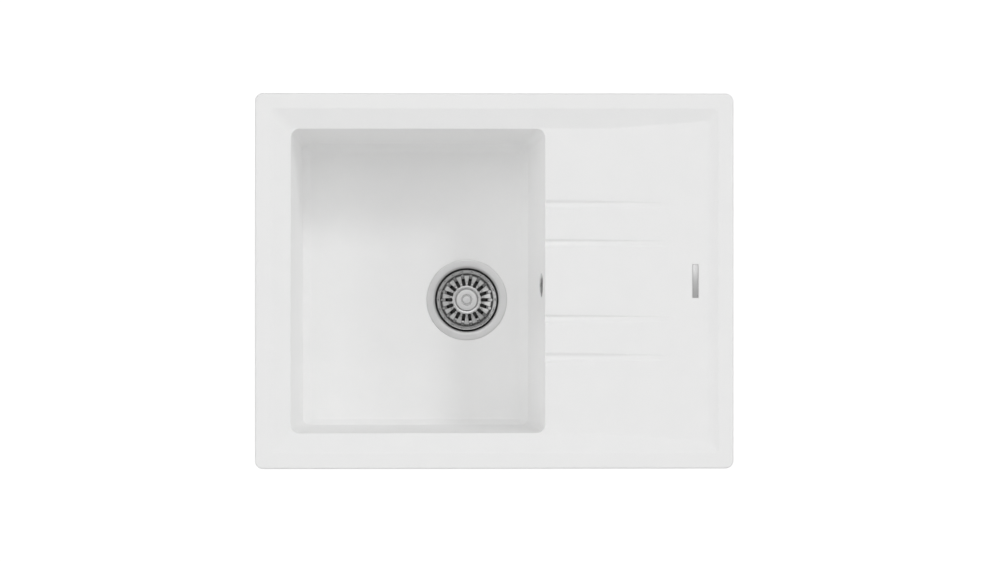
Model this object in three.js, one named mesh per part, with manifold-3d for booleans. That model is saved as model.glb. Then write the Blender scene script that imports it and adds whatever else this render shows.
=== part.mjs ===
// Inset kitchen sink with one bowl and a drainboard on its right, with its strainer waste, overflow and
// worktop clips. Millimetres, +Z up. The origin is the centre of the rim's outline on the surface of the
// worktop that the rim lies on. +X points to the drainboard and +Y to the back of the worktop.

import * as THREE from "three";
import { mergeVertices } from "three/addons/utils/BufferGeometryUtils.js";
import Module from "manifold-3d";

const wasm = await Module();
wasm.setup();

// ---------------------------------------------------------------------------------------------------
// Driving dimensions

const FIT_GAP = 0.3; // left between two pieces that touch, screw together or seal
const THREAD_GAP = 0.3; // radial, between a screw and what it passes through
const CUT_MARGIN = 5; // how far a cutting solid reaches past the face that it opens
const FUSE = 1; // how far a solid runs into the one that it is joined to
const SEAL_SETBACK = 1; // a gasket stops this far inside the flange that covers it
const HEAD_CHAMFER = 1; // on the heads of the small screws

// Rim and the band that slopes down inside it
const SINK_LENGTH = 650;
const SINK_WIDTH = 510;
const RIM_CORNER_R = 11;
const RIM_HEIGHT = 8.5; // above the worktop
const RIM_EDGE_R = 2.5;
const RIM_BORDER = 21; // flat top of the rim
const RIM_BEARING = 14; // underside that rests on the worktop
const BAND_DROP = 9; // from the rim's top to the drainboard at the bowl
const BAND_RUN = 26; // left, front and rear
const BAND_RUN_RIGHT = 14.7;
const BAND_CORNER_R = 8;

// Drainboard
const BOARD_THICKNESS = 9;
const TRAY_CORNER_R = 20;
const RAMP_START = 157; // X where the board starts to rise to the right
const RAMP_ANGLE = 1.5; // degrees
const RAMP_BLEND_R = 20; // between the ramp and the right band
const RAMP_BLEND_STEPS = 5;
const GROOVE_INNER_Y = 51.4; // from the board's middle line to the inner pair of grooves
const GROOVE_OUTER_Y = 104;
const GROOVE_INNER_WIDTH = 11.8; // at the bowl
const GROOVE_OUTER_WIDTH = 13.6;
const GROOVE_END_WIDTH = 7.5;
const GROOVE_DEPTH = 3; // at the bowl, from where it runs out to nothing
const GROOVE_END = 241; // X
const GROOVE_SIDE_RUN = 2; // how far a groove's side leans out over its depth
const TAP_HOLE_D = 35; // pilot recesses in the underside, cut through for a tap
const TAP_HOLE_SKIN = 3; // left above a pilot recess
const TAP_FROM_BOWL = 42; // X, bowl edge to tap axis
const TAP_Y = 165;

// Bowl
const BOWL_LENGTH = 348; // X, opening at the drainboard's level
const BOWL_DEPTH = 200; // rim's top to the floor at the drain
const BOWL_EDGE_R = 1.2;
const BOWL_CORNER_R = 13.2;
const FOOT_CORNER_R = 11;
const FLOOR_CORNER_R = 5;
const FOOT_HEIGHT = 9; // of the fillet between wall and floor
const FLOOR_FALL = 1.5; // floor's edge to the drain
const WALL_THICKNESS = 8;
const FLOOR_THICKNESS = 9;
const SHELL_BEND = 0.8; // where the shell's outside turns, as a share of the way from floor edge to foot
const WALL_TAPER = { left: 8, right: 19, front: 3.2, rear: 13 }; // opening to wall foot
const FOOT_STEP = { left: 10, right: 11, front: 7.5, rear: 12 }; // wall foot to floor edge
const DRAIN_FROM_RIGHT = 106.5; // bowl opening's right edge to the drain's axis
const DRAIN_FROM_FRONT = 181; // bowl opening's front edge to the drain's axis

// Strainer waste: the flange is one pressed dish, and the basket stands in it
const WASTE_HOLE_D = 90;
const HOLE_CHAMFER = 4.2;
const FLANGE_D = 114;
const FLANGE_PROUD = 0.8; // above the bowl's floor
const FLANGE_SHEET = 1;
const FLANGE_GASKET_THICKNESS = 1.2;
const FLANGE_GASKET_WIDTH = 6.8;
const DISH_MOUTH_R = 45.2; // inside the rolled edge
const DISH_ROLL = 4; // radius of the rolled edge
const DISH_WALL_R = 43.6;
const DISH_DEPTH = 33;
const DISH_WALL_LEAN = 1; // over the thickness of the bowl's floor
const DISH_FLOOR_R = 29;
const DISH_BEND_RUN = 2; // between the dish's floor and its cone
const DISH_BEND_RISE = 1;
const DISH_HOLES = 8;
const DISH_HOLE_R = 3.5;
const DISH_HOLE_RING_R = 14;

const BASKET_SHEET = 0.9;
const BASKET_RIM_DROP = 1.5; // below the flange's top
const BASKET_RIM_R = 44.2;
const BASKET_RIM_INNER_R = 39.4;
const BASKET_SHOULDER_DROP = 3.5; // below the flange's top, where the slots end
const BASKET_DEPTH = 17;
const BASKET_FLOOR_R = 28.6;
const BASKET_BEND = 1.4; // across and up, between floor and side
const BASKET_HUB_R = 20.7; // foot of the raised hub
const HUB_TOP_R = 17;
const HUB_TOP_DROP = 10; // below the flange's top
const HUB_TOP_BEND = 1;
const HUB_SIDE_LEAN = 1.2;
const HUB_FOOT_RISE = 1.6;
const SLOTS = 18;
const SLOT_WIDTH = 4;
const SLOT_INNER_R = 20.7;
const SLOT_OUTER_R = 38;
const KNOB_R = 16;
const KNOB_HEIGHT = 5;
const KNOB_CHAMFER = 1;
const KNOB_BOSS_R = 5.5;
const KNOB_BOSS_HEIGHT = 1.4; // above the groove round it
const KNOB_GROOVE_R = 6.7;
const KNOB_GROOVE_DEPTH = 0.8;
const KNOB_GROOVE_LEAN = 0.6;
const POST_R = 4;
const POST_TIP_R = 3;
const POST_TIP_CHAMFER = 0.8;
const STOPPER_R = 24;
const STOPPER_LIP_HEIGHT = 2;
const STOPPER_WAIST = 2.5; // how far the skirt narrows above its lip
const STOPPER_SKIRT_INNER_R = 19;
const STOPPER_PLATE = 3;
const STOPPER_NUT_R = 6.5;
const STOPPER_NUT_HEIGHT = 3;

const CENTRE_SCREW_R = 3.9;
const CENTRE_SCREW_LENGTH = 26;
const CENTRE_HEAD_R = 7.5;
const CENTRE_HEAD_HEIGHT = 6;
const CENTRE_SOCKET_DEPTH = 5.5;

// Waste body under the bowl
const BODY_WALL = 3;
const BODY_INNER_R = 46.5;
const BODY_FLANGE_R = 56;
const BODY_FLANGE_THICKNESS = 4;
const BODY_GASKET_THICKNESS = 2.5;
const BODY_CUP_DEPTH = 27;
const BODY_CONE_DEPTH = 14;
const OUTLET_D = 47.8; // thread for the trap's nut, 1 1/2 inch
const OUTLET_BORE_R = 20;
const OUTLET_LENGTH = 28;
const BODY_HUB_R = 10;
const BODY_ARMS = 3;
const BODY_ARM_WIDTH = 4;
const INSERT_WALL = 2.2;

// Overflow in the bowl's right wall
const OVERFLOW_Y = -5.8;
const OVERFLOW_DROP = 48; // below the rim's top
const OVERFLOW_HOLE_R = 12.5;
const COVER_R = 16.5;
const COVER_THICKNESS = 2.4;
const COVER_CHAMFER = 1.2; // across, over half the thickness
const COVER_SLOTS = 6;
const COVER_SLOT_WIDTH = 2.6;
const COVER_SLOT_INNER_R = 7;
const COVER_SLOT_OUTER_R = 12;
const COVER_SCREW_R = 2.5;
const COVER_SCREW_HEAD_R = 4.8;
const COVER_SCREW_HEAD_HEIGHT = 1.2;
const COVER_SCREW_LENGTH = 28;
const COVER_SCREW_SPARE = 1; // of its hole, past its end
const COVER_SEAL_THICKNESS = 0.9;
const OVERFLOW_GASKET_THICKNESS = 2.5;
const ELBOW_FLANGE_R = 16.8;
const ELBOW_FLANGE_THICKNESS = 3;
const ELBOW_BODY_R = 14.5;
const ELBOW_LENGTH = 30;
const ELBOW_WALL = 2.2;
const ELBOW_BOSS_R = 4.8;
const ELBOW_OUTLET_REACH = 42; // body's axis to the end of the outlet spigot

// Ribbed overflow hose and the nuts that hold its ends
const SPIGOT_R = 8.7;
const SPIGOT_BORE_R = 6.5;
const SPIGOT_LENGTH = 27; // on the waste body, from the cup's outside
const SPIGOT_DROP = 14.4; // spigot's axis below the waste body's top
const HOSE_OVERLAP = 12; // of the hose on a spigot
const HOSE_BORE_R = 9.6;
const HOSE_RIB_R = 12.6;
const HOSE_VALLEY_R = 11.2;
const HOSE_RIB_PITCH = 4;
const HOSE_SIDES = 8;
const HOSE_STRAIGHT = 26; // at each end
const HOSE_BEND_REACH = 62; // how far the bend's handles run on from the straight ends
const RIBS_PER_BORE_RING = 5;
const NUT_WALL = 3;
const NUT_LENGTH = 14;
const NUT_LIP = 2.5;
const NUT_SIDES = 12;

// Worktop clips. Their sizes are measured from the rim's outer edge inwards and down
const CLIP_SPACING = 400; // X, between the two clips of a long side
const CLIP_SCREW_INSET = 21;
const CLIP_SCREW_R = 2.5;
const CLIP_SCREW_TOP = -10.5;
const CLIP_HEAD_R = 5;
const CLIP_HEAD_HEIGHT = 3.5;
const BRACKET_SHEET = 2;
const BRACKET_FACE_GAP = 4.7; // screw axis to the bracket's plate
const BRACKET_TOP = -14;
const BRACKET_BOTTOM = -62;
const EAR_REACH = 7.5; // screw axis to an ear's tip
const EAR_WIDTH = 18;
const PLATE_FIXING_Y = -14;
const PLATE_FIXING_Z = -24;
const PLATE_END_Y = -22;
const PLATE_WIDE_BOTTOM = -34;
const FIXING_R = 2.1;
const FIXING_LENGTH = 9; // under the head
const FIXING_HOLE_DEPTH = 10;
const FIXING_HEAD_R = 4;
const FIXING_HEAD_HEIGHT = 2.2;
const LUG_LENGTH = 48;
const LUG_THICKNESS = 14;
const LUG_BOTTOM = -36;
const CLAW_TOP = -45;
const CLAW_HUB_R = 4.2;
const CLAW_HUB_HEIGHT = 10;
const CLAW_ARM_WIDTH = 8;
const CLAW_ARM_THICKNESS = 5;
const CLAW_REACH = 19; // screw axis to the gripping edge
const CLAW_TOOTH = 2; // width and height

// Seal under the rim, and the bare plate on the drainboard
const SEAL_INSET = 4;
const SEAL_WIDTH = 5;
const SEAL_THICKNESS = 1.2;
const PLATE_FROM_RIM = 51.5; // rim's right edge to the plate's centre
const PLATE_LENGTH = 45.5;
const PLATE_WIDTH = 8;
const PLATE_THICKNESS = 1;
const PLATE_PROUD = 0.5;

// Mesh fineness
const CORNER_STEPS = 6;
const ARC_STEPS = 3;
const ROUND_SIDES = 36;
const SMALL_SIDES = 12;
const SLOT_END_STEPS = 2;
const HEX = 6;

// ---------------------------------------------------------------------------------------------------
// Levels and places worked out from them

const RIM_TOP = RIM_HEIGHT;
const BOARD_Z = RIM_TOP - BAND_DROP;
const BOARD_UNDERSIDE = BOARD_Z - BOARD_THICKNESS;
const DRAIN_Z = RIM_TOP - BOWL_DEPTH;
const FLOOR_EDGE_Z = DRAIN_Z + FLOOR_FALL;
const FOOT_Z = FLOOR_EDGE_Z + FOOT_HEIGHT;
const FLOOR_UNDERSIDE = DRAIN_Z - FLOOR_THICKNESS;
const RAMP_SLOPE = Math.tan(THREE.MathUtils.degToRad(RAMP_ANGLE));

const rim = { x0: -SINK_LENGTH / 2, x1: SINK_LENGTH / 2, y0: -SINK_WIDTH / 2, y1: SINK_WIDTH / 2 };
rim.r = RIM_CORNER_R;
const bandTop = { ...inset(rim, RIM_BORDER), r: BAND_CORNER_R };
const bandFoot = {
  ...insetBy(bandTop, { left: BAND_RUN, right: BAND_RUN_RIGHT, front: BAND_RUN, rear: BAND_RUN }),
  r: BOWL_CORNER_R,
};
const tray = { ...inset(rim, RIM_BEARING), r: TRAY_CORNER_R };
const opening = { ...bandFoot, x1: bandFoot.x0 + BOWL_LENGTH };
const wallTop = { ...inset(opening, BOWL_EDGE_R), r: BOWL_CORNER_R - BOWL_EDGE_R };
const foot = { ...insetBy(opening, WALL_TAPER), r: FOOT_CORNER_R };
const floorEdge = { ...insetBy(foot, FOOT_STEP), r: FLOOR_CORNER_R };
const drain = { x: opening.x1 - DRAIN_FROM_RIGHT, y: opening.y0 + DRAIN_FROM_FRONT };

const FLANGE_TOP_Z = DRAIN_Z + FLANGE_PROUD;
const FLANGE_R = FLANGE_D / 2;
const SEAT_DEPTH = FLANGE_SHEET + FLANGE_GASKET_THICKNESS + 2 * FIT_GAP; // flange top to its seat
const BODY_TOP = FLOOR_UNDERSIDE - BODY_GASKET_THICKNESS - 2 * FIT_GAP;
const SPIGOT_Z = BODY_TOP - SPIGOT_DROP;

// The right wall leans, and the overflow stands square to it.
const wallLean = Math.atan2(wallTop.x1 - foot.x1, BOARD_Z - BOWL_EDGE_R - FOOT_Z);
const overflowZ = RIM_TOP - OVERFLOW_DROP;
const overflowX = wallTop.x1 - (BOARD_Z - BOWL_EDGE_R - overflowZ) * Math.tan(wallLean);

// Along the overflow's axis, with zero at the wall's inner face and the bowl on the positive side.
const coverBack = COVER_SEAL_THICKNESS + 2 * FIT_GAP;
const coverTop = coverBack + COVER_THICKNESS;
const gasketFront = -WALL_THICKNESS / Math.cos(wallLean) - FIT_GAP;
const elbowFront = gasketFront - OVERFLOW_GASKET_THICKNESS - FIT_GAP;
const elbowBack = elbowFront - ELBOW_LENGTH;
const elbowAxis = elbowBack + ELBOW_BODY_R;

// ---------------------------------------------------------------------------------------------------
// Outlines, solids and booleans

function insetBy(rect, by) {
  return {
    ...rect,
    x0: rect.x0 + by.left,
    x1: rect.x1 - by.right,
    y0: rect.y0 + by.front,
    y1: rect.y1 - by.rear,
  };
}

function inset(rect, d) {
  return insetBy(rect, { left: d, right: d, front: d, rear: d });
}

function mix(a, b, t) {
  return Object.fromEntries(Object.keys(a).map((key) => [key, a[key] + (b[key] - a[key]) * t]));
}

// The corners of a rounded rectangle at height z, anticlockwise from above.
function ring(rect, z) {
  const { x0, x1, y0, y1, r } = rect;
  const centres = [
    [x1 - r, y1 - r],
    [x0 + r, y1 - r],
    [x0 + r, y0 + r],
    [x1 - r, y0 + r],
  ];
  return centres.flatMap(([cx, cy], quarter) =>
    Array.from({ length: CORNER_STEPS + 1 }, (_, step) => {
      const angle = ((quarter + step / CORNER_STEPS) * Math.PI) / 2;
      return new THREE.Vector3(cx + r * Math.cos(angle), cy + r * Math.sin(angle), z);
    }),
  );
}

// A closed surface through rings of equally many points, with a fan at each end.
function loft(rings) {
  const count = rings[0].length;
  const vertices = rings.flat();
  const faces = [];
  for (let level = 0; level + 1 < rings.length; level++)
    for (let i = 0; i < count; i++) {
      const next = (i + 1) % count;
      const a = level * count + i;
      const b = level * count + next;
      faces.push(a, b, b + count, a, b + count, a + count);
    }
  [0, rings.length - 1].forEach((level, end) => {
    const centre = rings[level].reduce((sum, p) => sum.add(p), new THREE.Vector3());
    vertices.push(centre.divideScalar(count));
    for (let i = 0; i < count; i++) {
      const edge = [level * count + i, level * count + ((i + 1) % count)];
      if (!end) edge.reverse();
      faces.push(...edge, vertices.length - 1);
    }
  });
  return meshGeometry(vertices, faces);
}

function meshGeometry(vertices, faces) {
  const geometry = new THREE.BufferGeometry().setFromPoints(vertices);
  return geometry.setIndex(faces);
}

// A profile of [radius, z] pairs turned about Z. It starts and ends on the axis, or closes on itself.
function turned(profile, sides = ROUND_SIDES) {
  const points = profile.map(([radius, z]) => new THREE.Vector2(radius, z));
  return new THREE.LatheGeometry(points, sides).rotateX(Math.PI / 2);
}

function cylinder(r, z0, z1, sides = SMALL_SIDES) {
  const upright = new THREE.CylinderGeometry(r, r, z1 - z0, sides).rotateX(Math.PI / 2);
  return upright.translate(0, 0, (z0 + z1) / 2);
}

function tube(inner, outer, z0, z1, sides = ROUND_SIDES) {
  const section = [[inner, z0], [outer, z0], [outer, z1], [inner, z1], [inner, z0]];
  return turned(section, sides);
}

function block(x0, x1, y0, y1, z0, z1) {
  const box = new THREE.BoxGeometry(x1 - x0, y1 - y0, z1 - z0);
  return box.translate((x0 + x1) / 2, (y0 + y1) / 2, (z0 + z1) / 2);
}

// A straight slot from radius r0 to r1 with round ends, as a prism from z0 to z1.
function slotPrism(r0, r1, width, z0, z1) {
  const half = width / 2;
  const shape = new THREE.Shape();
  shape.absarc(r1 - half, 0, half, -Math.PI / 2, Math.PI / 2);
  shape.absarc(r0 + half, 0, half, Math.PI / 2, (3 * Math.PI) / 2);
  const options = { depth: z1 - z0, bevelEnabled: false, curveSegments: SLOT_END_STEPS };
  return new THREE.ExtrudeGeometry(shape, options).translate(0, 0, z0);
}

// The closed profile of a sheet whose upper side runs through points, with its thickness below it.
function sheetProfile(points, thickness) {
  const upper = points.map(([radius, z]) => new THREE.Vector2(radius, z));
  const normals = upper.slice(1).map((p, i) => {
    const along = p.clone().sub(upper[i]).normalize();
    return new THREE.Vector2(along.y, -along.x);
  });
  const lower = upper.map((p, i) => {
    const before = normals[Math.max(i - 1, 0)];
    const after = normals[Math.min(i, normals.length - 1)];
    const mitre = before.clone().add(after).normalize();
    return p.clone().addScaledVector(mitre, thickness / mitre.dot(after));
  });
  return [...upper, ...lower.reverse(), upper[0]].map((p) => [p.x, p.y]);
}

function solid(geometry) {
  const bare = geometry.clone();
  bare.deleteAttribute("normal");
  bare.deleteAttribute("uv");
  const merged = mergeVertices(bare);
  const vertProperties = merged.attributes.position.array;
  const triVerts = new Uint32Array(merged.index.array);
  const made = new wasm.Manifold(new wasm.Mesh({ numProp: 3, vertProperties, triVerts }));
  if (made.volume() > 0) return made;
  const inverted = triVerts.slice().reverse();
  return new wasm.Manifold(new wasm.Mesh({ numProp: 3, vertProperties, triVerts: inverted }));
}

function geometryOf(body) {
  const mesh = body.getMesh();
  const geometry = new THREE.BufferGeometry();
  geometry.setAttribute("position", new THREE.BufferAttribute(mesh.vertProperties, 3));
  geometry.setIndex(new THREE.BufferAttribute(mesh.triVerts, 1));
  const flat = geometry.toNonIndexed();
  flat.computeVertexNormals();
  return flat;
}

// The solids of added, joined, less the solids of cut.
function carve(added, cut = []) {
  const whole = added.map(solid).reduce((sum, piece) => sum.add(piece));
  return geometryOf(cut.map(solid).reduce((left, piece) => left.subtract(piece), whole));
}

function around(count, make) {
  return Array.from({ length: count }, (_, i) => make().rotateZ((i * 2 * Math.PI) / count));
}

// ---------------------------------------------------------------------------------------------------
// Materials and the scene graph

const finishes = {
  composite: { color: 0xf2f2f0, roughness: 0.45, metalness: 0 },
  satinSteel: { color: 0xc4c4c4, roughness: 0.4, metalness: 1 },
  polishedSteel: { color: 0xb8b8b8, roughness: 0.15, metalness: 1 },
  rubber: { color: 0x1c1c1c, roughness: 0.8, metalness: 0 },
  foam: { color: 0x3a3a3a, roughness: 0.9, metalness: 0 },
  whitePlastic: { color: 0xe8e8e4, roughness: 0.4, metalness: 0 },
  brass: { color: 0xb08d4a, roughness: 0.3, metalness: 1 },
  zincSteel: { color: 0x9da0a3, roughness: 0.35, metalness: 1 },
};

const sink = new THREE.Group();
sink.name = "kitchen_sink";

// A named piece, with its faces turned outwards.
function add(parent, name, finish, geometry) {
  const material = new THREE.MeshStandardMaterial(finishes[finish]);
  const mesh = new THREE.Mesh(geometryOf(solid(geometry)), material);
  mesh.name = name;
  parent.add(mesh);
  return mesh;
}

function groupAt(x, y, z) {
  const group = new THREE.Group();
  group.position.set(x, y, z);
  sink.add(group);
  return group;
}

// ---------------------------------------------------------------------------------------------------
// Basin

function boardHeight(x) {
  return BOARD_Z + Math.max(0, x - RAMP_START) * RAMP_SLOPE;
}

// The rim's slab, with its upper edge rounded.
function rimSlab() {
  const rings = [ring(rim, 0)];
  for (let step = 0; step <= ARC_STEPS; step++) {
    const angle = ((step / ARC_STEPS) * Math.PI) / 2;
    const narrower = RIM_EDGE_R * (1 - Math.cos(angle));
    const rect = { ...inset(rim, narrower), r: RIM_CORNER_R - narrower };
    rings.push(ring(rect, RIM_TOP - RIM_EDGE_R * (1 - Math.sin(angle))));
  }
  return loft(rings);
}

// The ramp fills the recess inside the band from RAMP_START on, and blends into the right band.
function rampFill() {
  const bandSlope = BAND_DROP / BAND_RUN_RIGHT;
  const rampAngle = Math.atan(RAMP_SLOPE);
  const bandAngle = Math.atan(bandSlope);
  const meetX =
    (BOARD_Z - RAMP_START * RAMP_SLOPE - RIM_TOP + bandTop.x1 * bandSlope) / (bandSlope - RAMP_SLOPE);
  const meet = new THREE.Vector2(meetX, boardHeight(meetX));
  const back = RAMP_BLEND_R * Math.tan((bandAngle - rampAngle) / 2);
  const downhill = new THREE.Vector2(-Math.cos(rampAngle), -Math.sin(rampAngle));
  const arcStart = meet.clone().addScaledVector(downhill, back);
  const centre = new THREE.Vector2(-Math.sin(rampAngle), Math.cos(rampAngle));
  centre.multiplyScalar(RAMP_BLEND_R).add(arcStart);
  const shape = new THREE.Shape();
  shape.moveTo(RAMP_START, BOARD_Z - CUT_MARGIN);
  shape.lineTo(RAMP_START, BOARD_Z);
  shape.absarc(centre.x, centre.y, RAMP_BLEND_R, rampAngle - Math.PI / 2, bandAngle - Math.PI / 2);
  shape.lineTo(rim.x1, centre.y - RAMP_BLEND_R * Math.cos(bandAngle));
  shape.lineTo(rim.x1, BOARD_Z - CUT_MARGIN);
  const options = { depth: SINK_WIDTH, bevelEnabled: false, curveSegments: RAMP_BLEND_STEPS };
  const fill = new THREE.ExtrudeGeometry(shape, options);
  return fill.rotateX(Math.PI / 2).translate(0, SINK_WIDTH / 2, 0);
}

function bandRecess() {
  const above = CUT_MARGIN / BAND_DROP;
  const beyond = mix(bandFoot, bandTop, 1 + above);
  beyond.r = BAND_CORNER_R;
  const rings = [ring(bandFoot, BOARD_Z), ring(bandTop, RIM_TOP), ring(beyond, RIM_TOP + CUT_MARGIN)];
  return carve([loft(rings)], [rampFill()]);
}

function bowlHollow() {
  const seat = FLANGE_R + FIT_GAP;
  const drainRing = { x0: drain.x - seat, x1: drain.x + seat, y0: drain.y - seat, y1: drain.y + seat };
  drainRing.r = seat - FUSE; // nearly a circle
  const rings = [ring(drainRing, DRAIN_Z)];
  for (let step = 0; step <= ARC_STEPS; step++) {
    const angle = ((step / ARC_STEPS) * Math.PI) / 2;
    const height = FOOT_HEIGHT * (1 - Math.cos(angle));
    rings.push(ring(mix(floorEdge, foot, Math.sin(angle)), FLOOR_EDGE_Z + height));
  }
  for (let step = 0; step <= ARC_STEPS; step++) {
    const angle = ((step / ARC_STEPS) * Math.PI) / 2;
    const rect = mix(wallTop, opening, 1 - Math.cos(angle));
    rings.push(ring(rect, BOARD_Z - BOWL_EDGE_R * (1 - Math.sin(angle))));
  }
  rings.push(ring(opening, RIM_TOP + CUT_MARGIN));
  return loft(rings);
}

function bowlShell() {
  const outward = (rect, d) => ({ ...inset(rect, -d), r: rect.r + d });
  return loft([
    ring(outward(floorEdge, WALL_THICKNESS - FOOT_HEIGHT / 2), FLOOR_UNDERSIDE),
    ring(outward(mix(floorEdge, foot, SHELL_BEND), WALL_THICKNESS), FLOOR_EDGE_Z),
    ring(outward(foot, WALL_THICKNESS), FOOT_Z),
    ring(outward(wallTop, WALL_THICKNESS), BOARD_Z - BOWL_EDGE_R),
  ]);
}

function groove(y, width) {
  const start = opening.x1 - BOWL_EDGE_R;
  const section = (x) => {
    const t = Math.max(0, (x - opening.x1) / (GROOVE_END - opening.x1));
    const half = (width + (GROOVE_END_WIDTH - width) * t) / 2;
    const bottom = boardHeight(x) - GROOVE_DEPTH * (1 - t);
    const top = boardHeight(x) + GROOVE_DEPTH;
    const lean = GROOVE_SIDE_RUN * (1 - t);
    return [
      new THREE.Vector3(x, y - half - GROOVE_SIDE_RUN, top),
      new THREE.Vector3(x, y - half + lean, bottom),
      new THREE.Vector3(x, y + half - lean, bottom),
      new THREE.Vector3(x, y + half + GROOVE_SIDE_RUN, top),
    ];
  };
  return loft([section(start), section(opening.x1), section(RAMP_START), section(GROOVE_END)]);
}

function grooves() {
  return [-1, 1].flatMap((side) => [
    groove(side * GROOVE_INNER_Y, GROOVE_INNER_WIDTH),
    groove(side * GROOVE_OUTER_Y, GROOVE_OUTER_WIDTH),
  ]);
}

function wasteHole() {
  const holeR = WASTE_HOLE_D / 2;
  const seatR = FLANGE_R + FIT_GAP;
  const seatZ = FLANGE_TOP_Z - SEAT_DEPTH;
  const hole = turned([
    [0, FLOOR_UNDERSIDE - CUT_MARGIN],
    [holeR, FLOOR_UNDERSIDE - CUT_MARGIN],
    [holeR, seatZ - HOLE_CHAMFER],
    [holeR + HOLE_CHAMFER, seatZ],
    [seatR, seatZ],
    [seatR, FLANGE_TOP_Z + CUT_MARGIN],
    [0, FLANGE_TOP_Z + CUT_MARGIN],
  ]);
  return hole.translate(drain.x, drain.y, 0);
}

function overflowHole() {
  const hole = cylinder(OVERFLOW_HOLE_R, -WALL_THICKNESS - CUT_MARGIN, CUT_MARGIN, ROUND_SIDES / 2);
  return hole.applyMatrix4(overflowFrame().matrix);
}

function tapPilots() {
  const bottom = BOARD_UNDERSIDE - CUT_MARGIN;
  return [-TAP_Y, TAP_Y].map((y) => {
    const recess = cylinder(TAP_HOLE_D / 2, bottom, BOARD_Z - TAP_HOLE_SKIN, ROUND_SIDES / 2);
    return recess.translate(opening.x1 + TAP_FROM_BOWL, y, 0);
  });
}

function rimRing(outerInset, width, z0, z1) {
  const outer = { ...inset(rim, outerInset), r: RIM_CORNER_R - outerInset / 2 };
  const inner = { ...inset(rim, outerInset + width), r: RIM_CORNER_R - outerInset / 2 };
  return carve(
    [loft([ring(outer, z0), ring(outer, z1)])],
    [loft([ring(inner, z0 - CUT_MARGIN), ring(inner, z1 + CUT_MARGIN)])],
  );
}

const clipPlaces = [
  { name: "rear_left", x: -CLIP_SPACING / 2, y: rim.y1, turn: 90 },
  { name: "rear_right", x: CLIP_SPACING / 2, y: rim.y1, turn: 90 },
  { name: "front_left", x: -CLIP_SPACING / 2, y: rim.y0, turn: -90 },
  { name: "front_right", x: CLIP_SPACING / 2, y: rim.y0, turn: -90 },
  { name: "left", x: rim.x0, y: 0, turn: 180 },
  { name: "right", x: rim.x1, y: 0, turn: 0 },
];
const plateBack = -CLIP_SCREW_INSET - BRACKET_FACE_GAP - BRACKET_SHEET; // X in a clip's own frame

function clipFrame({ x, y, turn }) {
  const frame = new THREE.Object3D();
  frame.position.set(x, y, 0);
  frame.rotation.z = THREE.MathUtils.degToRad(turn);
  frame.updateMatrix();
  return frame;
}

function clipLug(place) {
  const face = plateBack - FIT_GAP;
  const half = LUG_LENGTH / 2;
  const lug = block(face - LUG_THICKNESS, face, -half, half, LUG_BOTTOM, BOARD_UNDERSIDE + FUSE);
  const hole = cylinder(FIXING_R + THREAD_GAP, -FIXING_HOLE_DEPTH, CUT_MARGIN).rotateY(Math.PI / 2);
  hole.translate(face, PLATE_FIXING_Y, PLATE_FIXING_Z);
  return carve([lug], [hole]).applyMatrix4(clipFrame(place).matrix);
}

function plateFrame() {
  const frame = new THREE.Object3D();
  const x = rim.x1 - PLATE_FROM_RIM;
  frame.position.set(x, 0, boardHeight(x));
  frame.rotation.y = -THREE.MathUtils.degToRad(RAMP_ANGLE);
  frame.updateMatrix();
  return frame;
}

function overflowFrame() {
  const frame = new THREE.Object3D();
  frame.position.set(overflowX, OVERFLOW_Y, overflowZ);
  frame.rotation.y = wallLean - Math.PI / 2;
  frame.updateMatrix();
  return frame;
}

function plateRecess() {
  const along = PLATE_LENGTH / 2 + FIT_GAP;
  const across = PLATE_WIDTH / 2 + FIT_GAP;
  const depth = PLATE_THICKNESS - PLATE_PROUD + FIT_GAP;
  return block(-across, across, -along, along, -depth, CUT_MARGIN).applyMatrix4(plateFrame().matrix);
}

const sealGrooveWidth = SEAL_WIDTH + 2 * FIT_GAP;
const sealGroove = rimRing(SEAL_INSET - FIT_GAP, sealGrooveWidth, -CUT_MARGIN, SEAL_THICKNESS + FIT_GAP);
const basin = carve(
  [
    rimSlab(),
    loft([ring(tray, BOARD_UNDERSIDE), ring(tray, FUSE)]),
    bowlShell(),
    ...clipPlaces.map(clipLug),
  ],
  [
    bandRecess(),
    bowlHollow(),
    ...grooves(),
    wasteHole(),
    overflowHole(),
    ...tapPilots(),
    plateRecess(),
    sealGroove,
  ],
);
add(sink, "sink_basin", "composite", basin);
add(sink, "rim_seal", "foam", rimRing(SEAL_INSET, SEAL_WIDTH, 0, SEAL_THICKNESS));

const plateGroup = plateFrame();
sink.add(plateGroup);
const plateZ = PLATE_PROUD - PLATE_THICKNESS;
add(
  plateGroup,
  "blank_plate",
  "satinSteel",
  block(-PLATE_WIDTH / 2, PLATE_WIDTH / 2, -PLATE_LENGTH / 2, PLATE_LENGTH / 2, plateZ, PLATE_PROUD),
);

// ---------------------------------------------------------------------------------------------------
// Strainer waste, about the drain's axis. Heights are from the flange's top

const waste = groupAt(drain.x, drain.y, FLANGE_TOP_Z);
const dishFloor = -DISH_DEPTH;
const underside = FLOOR_UNDERSIDE - FLANGE_TOP_Z;

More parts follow.
